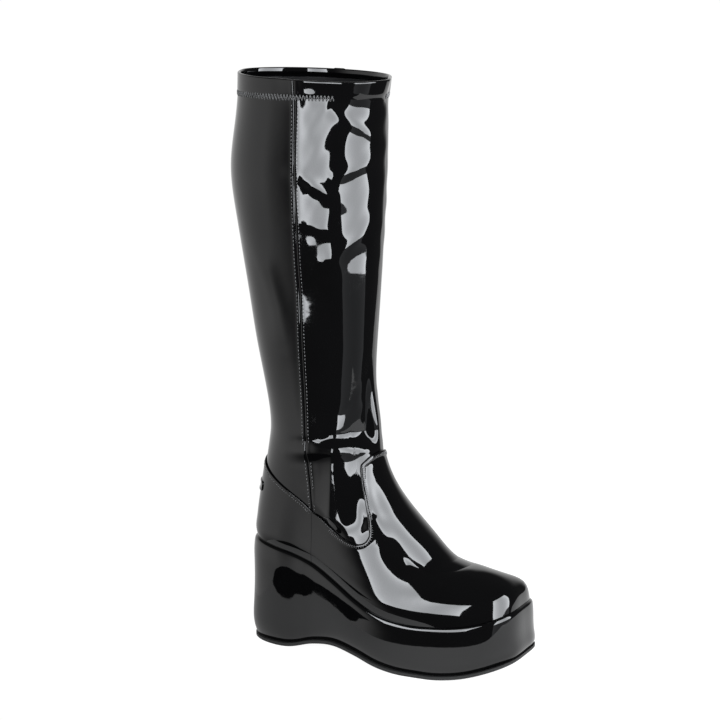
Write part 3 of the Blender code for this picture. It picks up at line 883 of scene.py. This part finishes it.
def hem_profile(z):
    """Rise of the turned-over hem, which the zigzag pulls in at its lower edge."""
    band = HEM_RISE * ease((z - HEM_Z + HEM_STITCH_HALF) / (2 * HEM_STITCH_HALF))
    return band - HEM_PULL * np.exp(-((z - HEM_Z) / (0.8 * HEM_STITCH_HALF)) ** 2)


def upper_rise(points, columns):
    """Everything that lifts the upper's outer face off the smooth wall."""
    sewn = seam_profile(columns)[:, None] + hem_profile(points[..., 2])
    in_recess = np.abs(columns - ZIP) * ZIP_STEP < 1.01 * CHANNEL_FLOOR
    return relief(points) + np.where(in_recess[:, None], -CHANNEL_DEPTH, sewn)


# %% Upper
WALL = 2.2 * MM
LIP, LIP_RISE = 5 * MM, 0.35 * MM       # the rim's edge is a little thicker inside
LIP_ROW = 24.6

points, normals = wall_and_normals(upper_rows, upper_columns)
outside = points + normals * upper_rise(points, upper_columns)[..., None]
inner_rows = np.concatenate([np.linspace(COLLAR_ROW, LIP_ROW, 12)[:-1], np.linspace(LIP_ROW, 0, 36)])
points, normals = wall_and_normals(inner_rows, upper_columns)
below_rim = np.clip((points[:, :1, 2] - points[..., 2]) / LIP, 0, 1)
inner_rise = relief(points) - WALL - LIP_RISE * np.sin(np.pi * below_rim)
inside = points + normals * inner_rise[..., None]
rim_turn = np.linspace(0, np.pi, 9)[1:-1, None]
rim_out = (outside[:, -1:] - inside[:, :1]) / 2
rim = outside[:, -1:] - rim_out * (1 - np.cos(rim_turn))
rim = rim + np.array((0, 0, 0.5 * WALL)) * np.sin(rim_turn)
upper_loops = np.concatenate([outside, rim, inside], axis=1)
upper = belongs(strip_mesh("upper_shell", upper_loops, True, black_patent), "upper_patent", "upper")

# %% [markdown]
# ## The lining
# Inside, the leather is faced with a smooth black lining that is glued to it. It is the same wall
# once more, a little further in, and it ends just under the rim.

# %% Lining
LINING, LINING_GAP = 0.3 * MM, 0.1 * MM
LINING_TOP = 24.55

black_lining, lining_shader, lining_place = new_finish(
    "black lining", Coat_Weight=0.6, Coat_Roughness=0.12, Specular_IOR_Level=0.2)
lining_grain = noise(lining_place, 0.9 * MM)
dress(lining_shader, two_tone(lining_grain, grey(0.004), grey(0.008, blue=0.009)),
      lining_grain * 0.2 + 0.45, lining_grain, 0.05 * MM)

lining_columns = between(0, COLUMNS, 3)[:-1]
lining_rows = np.concatenate([
    np.linspace(0.3, FOOT_ROWS, 40)[:-1], np.linspace(FOOT_ROWS, LINING_TOP, 45)])
points, normals = wall_and_normals(lining_rows, lining_columns)
lining_rise = relief(points) - WALL - LINING_GAP
near_side = points + normals * lining_rise[..., None]
far_side = points + normals * (lining_rise - LINING)[..., None]
lining_loops = np.concatenate([near_side, far_side[:, ::-1]], axis=1)
belongs(strip_mesh("lining", lining_loops, True, black_lining), "insole_cloth")

# %% [markdown]
# ## Vamp and counter
# The vamp covers the forefoot and instep, and the counter the heel. Each is cut from the same
# wall, one panel's thickness further out, and its top edge is turned over, which makes a soft roll.

# %% The roll of a turned-over edge
ROLL_FADE = (2.5, 6.0)      # columns from the panel's ends over which the roll grows
ROLL_AT_ENDS = 0.15


def away_from(points, line):
    """Distance of each point to the nearest point of a fine line."""
    gaps = [np.linalg.norm(line - point, axis=1).min() for point in points.reshape(-1, 3)]
    return np.array(gaps).reshape(points.shape[:-1])


def edge_roll(points, columns, rise, width):
    """Rise of the turned-over edge, which is less at the panel's ends."""
    fine_columns = np.linspace(columns[0], columns[-1], 6 * len(columns))
    edge_line = bare_wall(edge_rows(fine_columns)[:, None], fine_columns)[:, 0]
    ends = np.minimum(columns - columns[0], columns[-1] - columns)
    growth = ease((ends - ROLL_FADE[0]) / (ROLL_FADE[1] - ROLL_FADE[0]))
    fade = ROLL_AT_ENDS + (1 - ROLL_AT_ENDS) * growth
    from_crest = away_from(points, edge_line) - 0.7 * width
    return rise * fade[:, None] * np.exp(-(from_crest / width) ** 2)


# %% A panel with its rolled edge
PANEL_GAP = 0.4 * MM
PANEL = 1.1 * MM
EDGE_BULGE = 0.5 * MM
BROW, BROW_CURVE = 0.82, 1.6    # share of the way up, from which the rows are closer together

panel_shares = np.concatenate([
    np.linspace(0, BROW, 40)[:-1],
    1 - (1 - BROW) * (1 - np.linspace(0, 1, 40)) ** BROW_CURVE,
])


def make_panel(name, columns, roll):
    """Panel with a rolled top edge, the line of that edge and the directions down from it."""
    points, normals = wall_and_normals(edge_rows(columns)[:, None] * panel_shares, columns)
    bend = relief(points) + PANEL_GAP
    outside = points + normals * (bend + PANEL + edge_roll(points, columns, *roll))[..., None]
    inside = points + normals * bend[..., None]
    over = np.cross(normals[:, -1], unit(np.gradient(points[:, -1], axis=0)))
    over *= np.sign((over * (points[:, -1] - points[:, -2])).sum(axis=1, keepdims=True))
    turn = np.linspace(0, np.pi, 7)[1:-1, None]
    middle = (outside[:, -1:] + inside[:, -1:]) / 2
    half = (outside[:, -1:] - inside[:, -1:]) / 2
    brow = middle + half * np.cos(turn) + over[:, None] * EDGE_BULGE * np.sin(turn)
    loops = np.concatenate([outside, brow, inside[:, ::-1]], axis=1)
    return strip_mesh(name, loops, False, black_patent), outside[:, -1], -over


# %% Vamp and counter
VAMP_ROLL = (0.7 * MM, 1.9 * MM)
COUNTER_ROLL = (0.05 * MM, 1.2 * MM)
HALF_GAP = 0.15 * MM / SEAM_STEP

vamp_columns = np.append(
    between(ZIP + 0.5, COLUMNS + SEAM - 0.1, 6), COLUMNS + SEAM - HALF_GAP)
counter_columns = np.append(SEAM + HALF_GAP, between(SEAM + 0.1, ZIP - 0.5, 5))
vamp, vamp_edge, vamp_down = make_panel("vamp_panel", vamp_columns, VAMP_ROLL)
counter, counter_edge, counter_down = make_panel("counter_panel", counter_columns, COUNTER_ROLL)
belongs(vamp, "vamp_patent", "vamp")
belongs(counter, "counter_patent", "counter")

# %% [markdown]
# ## The platform
# The wedge is a light core wrapped in the same patent, with a seam at the inner waist where the
# wrap's ends meet. Its rings are read from the frame as the upper's were. Curves round each ring
# and up the side give it the even shoulder that catches the light above the toe, and one more ring
# on its top keeps that shoulder's shading apart from the flat it is glued to.

# %% Rings of the platform
PLATFORM_RINGS = 7
WAIST_RING = 3
WRAP_SEAM_X = 70 * MM

platform_grid = from_toe(read_rings("platform", PLATFORM_RINGS, from_top=False))
waist = platform_grid[WAIST_RING]
from_waist = np.where(waist[:, 1] > 0, np.abs(waist[:, 0] - WRAP_SEAM_X), 1)
wrap_seam = int(np.argmin(from_waist))
wrap_step = np.linalg.norm(waist[wrap_seam + 1] - waist[wrap_seam])
platform_columns = np.unique(np.concatenate([
    between(0, platform_grid.shape[1], 4)[:-1],
    beside(wrap_seam, (0.3, 0.6, 1.0, 1.5), wrap_step)]))
side_places = np.concatenate([
    np.linspace(0, 1, 4)[:-1], np.linspace(1, 4, 26)[:-1], np.linspace(4, PLATFORM_RINGS - 1, 16)])
platform_lines = rings_at(platform_grid, platform_columns).transpose(1, 0, 2)
side_places = np.tile(side_places, (len(platform_columns), 1))
platform_rings = smooth_curves(platform_lines, side_places).transpose(1, 0, 2)
print("platform of", platform_rings.shape[:2], "points")

# %% Platform
WRAP_GROOVE, WRAP_GROOVE_DEPTH = 0.5 * MM, 0.45 * MM
TOP_INSET = 0.94
TRIM = 1.8 * MM             # the outer side stands straighter than the frame's
TRIM_ACROSS, TRIM_HEIGHT, TRIM_CURVE = (-20, -40), 0.6, 1.5

round_it = np.roll(platform_rings, -1, axis=1) - np.roll(platform_rings, 1, axis=1)
outward = unit(np.cross(round_it, (0, 0, 1)))
from_middle = platform_rings - platform_rings.mean(axis=1, keepdims=True)
outward *= np.sign((outward * from_middle).sum())
low_z, high_z = platform_rings[:1, :, 2], platform_rings[-1:, :, 2]
side_share = (platform_rings[..., 2] - low_z) / (high_z - low_z)
trim = TRIM * np.clip(1 - side_share / TRIM_HEIGHT, 0, 1) ** TRIM_CURVE
trim *= rising(platform_rings[..., 1], TRIM_ACROSS)
from_seam = (platform_columns - wrap_seam) * wrap_step / WRAP_GROOVE
trim += WRAP_GROOVE_DEPTH * np.exp(-from_seam ** 2)
platform_rings -= outward * trim[..., None]
top_middle = platform_rings[-1].mean(axis=0) * (1, 1, 0)
inner_ring = top_middle + (platform_rings[-1] - top_middle) * (TOP_INSET, TOP_INSET, 1)
platform_rings = np.concatenate([platform_rings, inner_ring[None]])
platform = strip_mesh("platform_wrap", platform_rings, False, black_patent, mirror_cap=True)
belongs(platform, "platform_patent", "platform")

# %% [markdown]
# ## The outsole
# A thin sheet of rubber is glued under the wedge and stands out a little as a lip. Its underside
# has fine bars where it meets the ground, under the heel and the ball of the foot. The bars are
# cut by a Boolean, because a groove with square walls is what the mould leaves.

# %% Outsole
OUTSOLE_RINGS = 3

black_rubber, rubber_shader, rubber_place = new_finish("black rubber", Specular_IOR_Level=0.4)
rubber_speck = noise(rubber_place, 0.5 * MM)
dress(rubber_shader, two_tone(rubber_speck, grey(0.008), grey(0.016)),
      rubber_speck * 0.2 + 0.4, rubber_speck, 0.05 * MM)

outsole_grid = from_toe(read_rings("outsole", OUTSOLE_RINGS, from_top=True))
outsole_rings = rings_at(outsole_grid, between(0, outsole_grid.shape[1], 4)[:-1])
outsole = strip_mesh("outsole_tread", outsole_rings, False, black_rubber, mirror_cap=True)

# %% Tread
BAR_WIDTH, BAR_PITCH, BAR_DEPTH, BAR_MARGIN = 1.2 * MM, 4.2 * MM, 0.8 * MM, 7 * MM
BAR_ZONES = ((-24 * MM, 26 * MM), (112 * MM, 196 * MM))
CUTTER_HEIGHT = 4 * MM

tread_half = outsole_rings.shape[1] // 2
tread_sides = [side[np.argsort(side[:, 0])]
               for side in (outsole_rings[-1, :tread_half], outsole_rings[-1, tread_half:])]
cutters = []
for first, last in BAR_ZONES:
    for x in np.arange(first, last, BAR_PITCH):
        low, high = sorted(np.interp(x, side[:, 0], side[:, 1]) for side in tread_sides)
        level = np.interp(x, tread_sides[0][:, 0], tread_sides[0][:, 2])
        bpy.ops.mesh.primitive_cube_add(
            size=1, location=(x, (low + high) / 2, level - CUTTER_HEIGHT / 2 + BAR_DEPTH),
            scale=(BAR_WIDTH, high - low - 2 * BAR_MARGIN, CUTTER_HEIGHT))
        cutters.append(bpy.context.object)
for cutter in cutters:
    cutter.select_set(True)
bpy.ops.object.join()
cutter = bpy.context.object
cut = outsole.modifiers.new("bars", "BOOLEAN")
cut.operation = "DIFFERENCE"
cut.object = cutter
select_only(outsole)
bpy.ops.object.modifier_apply(modifier=cut.name)
bpy.data.objects.remove(cutter)
bpy.ops.object.shade_smooth_by_angle(angle=SHARP)
belongs(outsole, "outsole_rubber", "outsole")
print("tread of", len(cutters), "grooves")

# %% [markdown]
# ## The insole
# The sock under the foot is thin board faced with cloth. Two rings give its outline, and a bevel
# takes off its edge. The cloth is a plain weave, made by two rows of waves that cross.

# %% Sock cloth
WEAVE = 1.1 * MM
RIB_STEP = 0.314           # a wave texture of scale 1 repeats after this length


def ribs(place, direction, pitch, **more):
    """Rows of soft ribs, a pitch apart."""
    return place.node("ShaderNodeTexWave", {"bands_direction": direction}, Vector=place,
                      Scale=RIB_STEP / pitch, **more)


sock_cloth, sock_shader, sock_place = new_finish("sock cloth", Specular_IOR_Level=0.25)
warp, weft = (ribs(sock_place, direction, WEAVE) for direction in "XY")
weave = warp.maths("MAXIMUM", warp, weft)
dress(sock_shader, two_tone(weave * noise(sock_place, 5 * MM), grey(0.008), grey(0.03)),
      0.95 - weave * 0.2, weave, 0.2 * MM)
print("sock cloth ready")

# %% Insole
INSOLE_RINGS = 2
INSOLE_ROUND = 0.5 * MM


def round_edges(piece, width, segments, sharper_than):
    """Bevel the edges of a piece that are sharper than an angle in degrees."""
    rounding = piece.modifiers.new("edge", "BEVEL")
    rounding.width = width
    rounding.segments = segments
    rounding.limit_method = "ANGLE"
    rounding.angle_limit = math.radians(sharper_than)
    select_only(piece)
    bpy.ops.object.modifier_apply(modifier=rounding.name)


insole_grid = from_toe(read_rings("insole", INSOLE_RINGS, from_top=False))
insole_rings = rings_at(insole_grid, between(0, insole_grid.shape[1], 3)[:-1])
insole = strip_mesh("insole_sock", insole_rings, False, sock_cloth, mirror_cap=True)
round_edges(insole, INSOLE_ROUND, segments=2, sharper_than=60)
belongs(insole, "insole_cloth", "insole")

# %% [markdown]
# ## The heel tab
# A small bare plate of patent sits across the back of the counter. Its outline is a rectangle with
# round corners, drawn on the wall in millimetres along and up. Smaller outlines inside it make
# the raised border.

# %% Outline of the heel tab
CORNER_POINTS = 7
SIDE_POINTS = (24, 4)       # on a long side and on a short one


def rounded_outline(half_long, half_high, corner):
    """Rectangle with round corners, as places along and up."""
    arcs = []
    for quarter, (along, up) in enumerate(((1, 1), (-1, 1), (-1, -1), (1, -1))):
        turn = (np.linspace(0, 1, CORNER_POINTS) + quarter) * np.pi / 2
        centre = (along * (half_long - corner), up * (half_high - corner))
        arcs.append(centre + corner * np.stack([np.cos(turn), np.sin(turn)], axis=1))
    outline = []
    for quarter, arc in enumerate(arcs):
        way = arcs[(quarter + 1) % 4][0] - arc[-1]
        share = np.linspace(0, 1, SIDE_POINTS[quarter % 2] + 2)[1:-1, None]
        outline += [arc, arc[-1] + way * share]
    return np.concatenate(outline)


# %% Places on the wall
def on_wall(rows, columns):
    """Points of the wall and its outward directions for matching lists of rows and columns."""
    points, normals = wall_and_normals(np.asarray(rows)[:, None], np.asarray(columns))
    return points[:, 0], normals[:, 0]


def rows_at_height(columns, z):
    """Rows of the wall at which its columns reach a height."""
    fine = np.linspace(0, COLLAR_ROW, 1000)
    heights = bare_wall(fine, columns)[..., 2]
    return np.array([np.interp(z, height, fine) for height in heights])


def reach_along(route):
    """Length along a route up to each of its points."""
    return np.append(0, np.cumsum(np.linalg.norm(np.diff(route, axis=0), axis=1)))


# %% Heel tab
TAB_HALF, TAB_CORNER, TAB_LEAST_CORNER = 25 * MM, 2.4 * MM, 0.2 * MM
TAB_HEIGHTS = (133.2 * MM, 141.4 * MM)
# how far each outline is inside the first, and how high above the wall, in mm
TAB_STEPS = ((0.0, 1.45), (0.0, 2.25), (0.12, 2.5), (0.4, 2.62), (0.9, 2.62), (1.2, 2.5),
             (1.5, 2.25), (2.2, 2.2), (3.0, 2.2))
TAB_START = 2               # point of the outline from which its cap runs

tab_rows = rows_at_height(np.array([HEEL]), TAB_HEIGHTS)[0]
tab_ends, _ = on_wall(tab_rows, (HEEL, HEEL))
tab_half_high = np.linalg.norm(tab_ends[1] - tab_ends[0]) / 2
heel_columns = np.linspace(HEEL - 8, HEEL + 8, 321)
heel_reach = reach_along(bare_wall(np.array([np.mean(tab_rows)]), heel_columns)[:, 0])
heel_reach -= heel_reach[len(heel_reach) // 2]
tab_loops = []
for inset, lift in np.array(TAB_STEPS) * MM:
    corner = max(TAB_CORNER - inset, TAB_LEAST_CORNER)
    spots = rounded_outline(TAB_HALF - inset, tab_half_high - inset, corner)
    columns = np.interp(spots[:, 0], heel_reach, heel_columns)
    rows = np.interp(spots[:, 1], (-tab_half_high, tab_half_high), tab_rows)
    points, normals = on_wall(rows, columns)
    tab_loops.append(points + normals * lift)
tab_loops = np.roll(np.array(tab_loops), TAB_START, axis=1)
heel_tab = strip_mesh("heel_tab_plate", tab_loops, False, black_patent)
belongs(heel_tab, "heel_tab_patent", "heel_tab")

# %% [markdown]
# ## The zip's tape
# The tape lies in the upper's recess on the inner side, and its end shows over the rim, a little
# narrower. It is a flat woven band, ribbed across, so its profile is carried up the zip as a
# closed strip, and the ribs are a wave in its finish.

# %% Zip tape
TAPE_LOW, TAPE_HIGH = -0.75 * MM, -0.2 * MM
TAPE_TOP = 24.92
TAPE_END = ((1.0, 1.0), (2.2, 0.9), (2.8, 0.7))    # mm over the rim and share of the width there
TAPE_RIB = 0.9 * MM
# places across the tape in mm, and its rise there under the teeth and at its edges
TAPE_PROFILE = ((-6, -0.15), (-5.7, 0), (-4.5, 0), (-3.4, 0.05), (-2.6, 0.15), (0, 0.15),
                (2.6, 0.15), (3.4, 0.05), (4.5, 0), (5.7, 0), (6, -0.15))

tape_cloth, tape_shader, tape_place = new_finish("zip tape cloth", Specular_IOR_Level=0.3)
tape_ribs = ribs(tape_place, "Z", TAPE_RIB, Distortion=0.6, Detail=1.0, Detail_Scale=2.0)
dress(tape_shader, two_tone(tape_ribs, grey(0.006), grey(0.022, blue=0.023)),
      0.9 - tape_ribs * 0.2, tape_ribs, 0.2 * MM)

tape_places, tape_rise = np.array(TAPE_PROFILE).T * MM
tape_rows = np.concatenate([
    np.linspace(0, FOOT_ROWS, 90)[:-1], np.linspace(FOOT_ROWS, TAPE_TOP, 100)])
points, normals = wall_and_normals(tape_rows, ZIP + tape_places / ZIP_STEP)
bend = relief(points)
upper_face = points + normals * (TAPE_HIGH + tape_rise[:, None] + bend)[..., None]
lower_face = points + normals * (TAPE_LOW + bend)[..., None]
tape_loops = np.concatenate([upper_face, lower_face[::-1]]).transpose(1, 0, 2)
tape_top = tape_loops[-1].mean(axis=0)
tape_end = [tape_top + (tape_loops[-1] - tape_top) * share + (0, 0, over * MM)
            for over, share in TAPE_END]
zip_tape = strip_mesh("zip_tape_cloth", np.concatenate([tape_loops, tape_end]), False, tape_cloth)
belongs(zip_tape, "zip_tape", "zip_tape")

# %% [markdown]
# ## The zip's teeth
# The coil's teeth stand on the tape. A tooth is a bevelled block. It is modelled once and repeated
# up the zip in two rows, half a step apart, with every copy turned to the wall it stands on.

# %% Copies of one shape
def bevelled_block(size, bevel, segments, place=(0, 0, 0)):
    """Block with bevelled edges."""
    bpy.ops.object.select_all(action="DESELECT")
    bpy.ops.mesh.primitive_cube_add(size=1, scale=size, location=place)
    bpy.ops.object.transform_apply(location=True, scale=True)
    block = bpy.context.object
    edit_all(block, bpy.ops.mesh.bevel, offset=bevel, segments=segments, affect="EDGES")
    return block


def shape_of(piece):
    """Corners and faces of a piece that is only a pattern, which is then removed."""
    corners = np.array([vertex.co[:] for vertex in piece.data.vertices])
    faces = [list(face.vertices) for face in piece.data.polygons]
    bpy.data.objects.remove(piece)
    return corners, faces


def repeat(name, shape, middles, frames, finish):
    """One mesh of many copies of a shape, each with its own place and its own three directions."""
    corners, faces = shape
    spots = middles[:, None] + np.einsum("kc,ncj->nkj", corners, frames)
    every = [[corner + copy * len(corners) for corner in face]
             for copy in range(len(middles)) for face in faces]
    return new_piece(name, spots, every, finish)


def looked_up(at, known, values):
    """Places or directions between known ones."""
    return np.stack([np.interp(at, known, axis) for axis in values.T], axis=1)


# %% Zip teeth
TOOTH = (3.0 * MM, 0.95 * MM, 1.2 * MM)      # across, along, out
TOOTH_BEVEL = 0.32 * MM
TOOTH_PITCH = 1.35 * MM
TOOTH_SIDE = 0.95 * MM
TOOTH_LIFT = TAPE_HIGH + 0.15 * MM + TOOTH[2] / 2
TEETH_FIRST_ROW, TEETH_TOP = 0.6, 467.5 * MM

coil_nylon, coil_shader, coil_place = new_finish(
    "coil nylon", Specular_IOR_Level=0.5, Coat_Weight=0.15)
coil_tone = noise(coil_place, 1.5 * MM)
dress(coil_shader, two_tone(coil_tone, grey(0.006), grey(0.014, blue=0.015)), coil_tone * 0.2 + 0.25)

zip_line, zip_out = wall_and_normals(np.linspace(TEETH_FIRST_ROW, COLLAR_ROW, 3000), [ZIP])
zip_line = (zip_line + zip_out * relief(zip_line)[..., None])[0]
zip_run = reach_along(zip_line)
last_tooth = np.interp(TEETH_TOP, zip_line[:, 2], zip_run)
tooth_middles, tooth_frames = [], []
for side, shift in ((-1, 0.0), (1, 0.5)):
    stations = np.arange(shift * TOOTH_PITCH, last_tooth, TOOTH_PITCH)
    spot = looked_up(stations, zip_run, zip_line)
    up = unit(looked_up(stations, zip_run, zip_out[0]))
    along = unit(np.gradient(spot, axis=0))
    across = np.cross(along, up)
    tooth_middles.append(spot + across * side * TOOTH_SIDE + up * TOOTH_LIFT)
    tooth_frames.append(np.stack([across, along, up], axis=1))
tooth = shape_of(bevelled_block(TOOTH, TOOTH_BEVEL, segments=1))
zip_teeth = repeat(
    "zip_teeth", tooth, np.concatenate(tooth_middles), np.concatenate(tooth_frames), coil_nylon)
belongs(zip_teeth, "zip_coil", "zip_coil")

# %% [markdown]
# ## Slider and pull
# Both are cast metal under black lacquer. Their form is right in the frame, so a copy of each is
# merged and its edges are rounded. Three small ridges give the pull its grip. The pull hinges on
# the slider, so it rides on a body of its own.

# %% Zip slider and pull
METAL_ROUND = 0.28 * MM
RIDGES, RIDGE_PITCH, RIDGE_LOW = 3, 2.2 * MM, 451.5 * MM
RIDGE, RIDGE_BEVEL = (5.4 * MM, 0.8 * MM, 0.9 * MM), 0.25 * MM

black_metal, metal_shader, metal_place = new_finish(
    "black lacquered metal", Metallic=0.6, Coat_Weight=0.5, Coat_Roughness=0.15)
metal_wear = noise(metal_place, 1.2 * MM, detail=3.0)
dress(metal_shader, two_tone(metal_wear, grey(0.012, blue=0.013), grey(0.03, blue=0.032)),
      metal_wear * 0.15 + 0.25, metal_wear, 0.02 * MM)


def softened_copy(node, name):
    """A node's own form with its flat faces made whole and its edges rounded."""
    piece = merged_copy(node, name)
    edit_all(piece, bpy.ops.mesh.dissolve_limited, angle_limit=math.radians(3))
    round_edges(piece, METAL_ROUND, segments=3, sharper_than=40)
    return tidy_mesh(piece, black_metal)


slider = softened_copy("zip_slider", "zip_slider_body")
belongs(slider, "zip_metal", "zip_slider")

pull = softened_copy("zip_pull", "zip_pull_tab")
pull_low, pull_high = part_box("zip_pull")
pull_middle = (pull_low[0] + pull_high[0]) / 2
ridges = [bevelled_block(RIDGE, RIDGE_BEVEL, segments=2,
                         place=(pull_middle, pull_high[1], RIDGE_LOW + number * RIDGE_PITCH))
          for number in range(RIDGES)]
select_only(pull)
for ridge in ridges:
    ridge.select_set(True)
bpy.ops.object.join()
tidy_mesh(pull, black_metal)
belongs(pull, "zip_metal", "zip_pull", body="zip_pull")

# %% [markdown]
# ## Stitches
# Every panel is sewn down, and the thread shows as small dents and bumps that catch the light. One
# stitch is a squashed ball, drawn out lengthwise. A row of them follows a line on the wall, and
# each end is set on the finished leather, so that no stitch floats.

# %% One stitch
THREAD_WIDTH, THREAD_HEIGHT, THREAD_TWIST = 0.6 * MM, 0.6 * MM, 0.35 * MM
STITCH_LIFT, STITCH_ARCH = 0.35, 2.2    # in thread heights; its ends dip into the holes

thread_with_painted_sheen, thread_shader, thread_place = new_finish(
    "black thread, painted sheen", Coat_Weight=0.3, Coat_Roughness=0.2)
twist = ribs(thread_place, "DIAGONAL", THREAD_TWIST)
# The black thread's colour is lifted to greys, lightest on the twist's crests: a painted sheen, so
# the stitches show as lit strokes on the dark patent.
dress(thread_shader, two_tone(twist, grey(0.04), grey(0.1)), 0.42 - twist * 0.1, twist, 0.05 * MM)

bpy.ops.object.select_all(action="DESELECT")
bpy.ops.mesh.primitive_uv_sphere_add(
    segments=6, ring_count=6, radius=0.5, rotation=(0, math.pi / 2, 0))
bpy.ops.object.transform_apply(rotation=True)
stitch_corners, stitch_faces = shape_of(bpy.context.object)
stitch_corners[:, 2] += STITCH_LIFT - STITCH_ARCH * stitch_corners[:, 0] ** 2


def sew(name, starts, ends, leather, width=THREAD_WIDTH):
    """Stitches from starts to ends, each laid on the leather between its two holes."""
    tree = BVHTree.FromPolygons([vertex.co for vertex in leather.data.vertices],
                                [face.vertices for face in leather.data.polygons])
    first = [tree.find_nearest(Vector(spot)) for spot in starts]
    last = [tree.find_nearest(Vector(spot)) for spot in ends]
    start = np.array([hit[0][:] for hit in first])
    end = np.array([hit[0][:] for hit in last])
    up = unit(np.array([(a[1] + b[1])[:] for a, b in zip(first, last)]))
    along = unit(end - start)
    across = np.cross(up, along)
    up = np.cross(along, across)
    frames = np.stack([end - start, across * width, up * THREAD_HEIGHT], axis=1)
    return repeat(name, (stitch_corners, stitch_faces), (start + end) / 2, frames, thread_with_painted_sheen)


# %% [markdown]
# ## Hem and side seam
# The hem is held by a zigzag all round, apart from the zip. The side seam has a row of straight
# stitches at either side, where the pressed-open leather is sewn flat.

# %% Hem stitches
HEM_LEG = 1.5 * MM          # along the hem, from one corner of the zigzag to the next
HEM_THREAD = 0.75 * MM
HEM_HOLE = 0.04             # share of a leg that is left free at each end
ZIP_CLEAR = 10 * MM

hem_columns = between(0, COLUMNS, 20)
hem_line, _ = on_wall(rows_at_height(hem_columns, HEM_Z), hem_columns)
hem_reach = reach_along(hem_line)
corner_reach = np.arange(0, hem_reach[-1], HEM_LEG)
corner_columns = np.interp(corner_reach, hem_reach, hem_columns)
corner_heights = HEM_Z + HEM_STITCH_HALF * np.where(np.arange(len(corner_reach)) % 2, -1, 1)
corner_rows = np.array([rows_at_height(np.array([column]), height)[0]
                        for column, height in zip(corner_columns, corner_heights)])
corners, _ = on_wall(corner_rows, corner_columns)
clear = np.abs(corner_reach - np.interp(ZIP, hem_columns, hem_reach)) > ZIP_CLEAR
kept_legs = clear[:-1] & clear[1:]
leg_starts, leg_ends = corners[:-1][kept_legs], corners[1:][kept_legs]
hole = HEM_HOLE * (leg_ends - leg_starts)
hem_stitches = sew("hem_stitches", leg_starts + hole, leg_ends - hole, upper, width=HEM_THREAD)
belongs(hem_stitches, "upper_patent")

# %% Seam stitches
SEAM_ROW = 2.75 * MM
LONG_STITCH = (2.2 * MM, 0.9 * MM)      # its length and the gap after it
BELOW_HEM = 3 * MM
SEAM_START = 0.1            # rows above the panels' edge


def running(route, length, gap):
    """Starts and ends of even stitches along a route."""
    reach = reach_along(route)
    starts = np.arange(gap, reach[-1] - length, length + gap)
    return looked_up(starts, reach, route), looked_up(starts + length, reach, route)


def up_the_wall(rows, column):
    """Route on the wall along one column."""
    return on_wall(rows, np.full(len(rows), column))[0]


def join_rows(*rows):
    """Starts and ends of several rows of stitches as one."""
    return [np.concatenate(ends) for ends in zip(*rows)]


seam_foot = edge_rows([SEAM])[0]
seam_top = rows_at_height(np.array([SEAM]), HEM_Z - BELOW_HEM)[0]
seam_rows = np.linspace(seam_foot + SEAM_START, seam_top, 400)
seam_runs = [running(up_the_wall(seam_rows, SEAM + side * SEAM_ROW / SEAM_STEP), *LONG_STITCH)
             for side in (-1, 1)]
belongs(sew("seam_stitches", *join_rows(*seam_runs), upper), "upper_patent")

# %% [markdown]
# ## Panel and zip stitches
# The vamp's rolled edge is bound by short bars across it, the counter's edge by a running stitch,
# and both meet the side seam in a row each. Along the zip, a row at either side holds the tape.

# %% Vamp and counter stitches
BAR_NEAR, BAR_FAR, BAR_STEP = 1.0 * MM, 3.3 * MM, 1.75 * MM
COUNTER_INSIDE, COUNTER_STITCH = 2.2 * MM, (1.6 * MM, 0.7 * MM)
SIDE_ROW, SIDE_STITCH = 2.0 * MM, (1.9 * MM, 0.7 * MM)
SIDE_BELOW_EDGE, SIDE_LAST_ROW = 0.7, 0.4

vamp_reach = reach_along(vamp_edge)
bar_reach = np.arange(BAR_STEP, vamp_reach[-1] - BAR_STEP, BAR_STEP)
bar_columns = np.interp(bar_reach, vamp_reach, vamp_columns)
from_ends = np.minimum(bar_columns - vamp_columns[0], vamp_columns[-1] - bar_columns)
bar_reach = bar_reach[from_ends > ROLL_FADE[0]]
bar_edge = looked_up(bar_reach, vamp_reach, vamp_edge)
bar_down = looked_up(bar_reach, vamp_reach, vamp_down)
vamp_bars = bar_edge + bar_down * BAR_NEAR, bar_edge + bar_down * BAR_FAR

side_rows = np.linspace(seam_foot - SIDE_BELOW_EDGE, SIDE_LAST_ROW, 60)
vamp_side, counter_side = (
    running(up_the_wall(side_rows, SEAM + side * SIDE_ROW / SEAM_STEP), *SIDE_STITCH)
    for side in (-1, 1))
counter_top = running(counter_edge + counter_down * COUNTER_INSIDE, *COUNTER_STITCH)
belongs(sew("vamp_stitches", *join_rows(vamp_bars, vamp_side), vamp), "vamp_patent")
belongs(sew("counter_stitches", *join_rows(counter_top, counter_side), counter), "counter_patent")

# %% Zip stitches
ZIP_ROW = 10.4 * MM
BEYOND_STEP = 9 * MM        # about one column of the wall beyond the recess
ZIP_START = 0.3             # rows above the panels' edge

zip_foot = edge_rows([ZIP])[0] + ZIP_START
zip_top = rows_at_height(np.array([ZIP]), HEM_Z - BELOW_HEM)[0]
zip_offset = 0.5 + (ZIP_ROW - ZIP_STEP / 2) / BEYOND_STEP
zip_runs = [running(up_the_wall(np.linspace(zip_foot, zip_top, 400), ZIP + side * zip_offset),
                    *LONG_STITCH) for side in (-1, 1)]
belongs(sew("zip_stitches", *join_rows(*zip_runs), upper), "upper_patent")
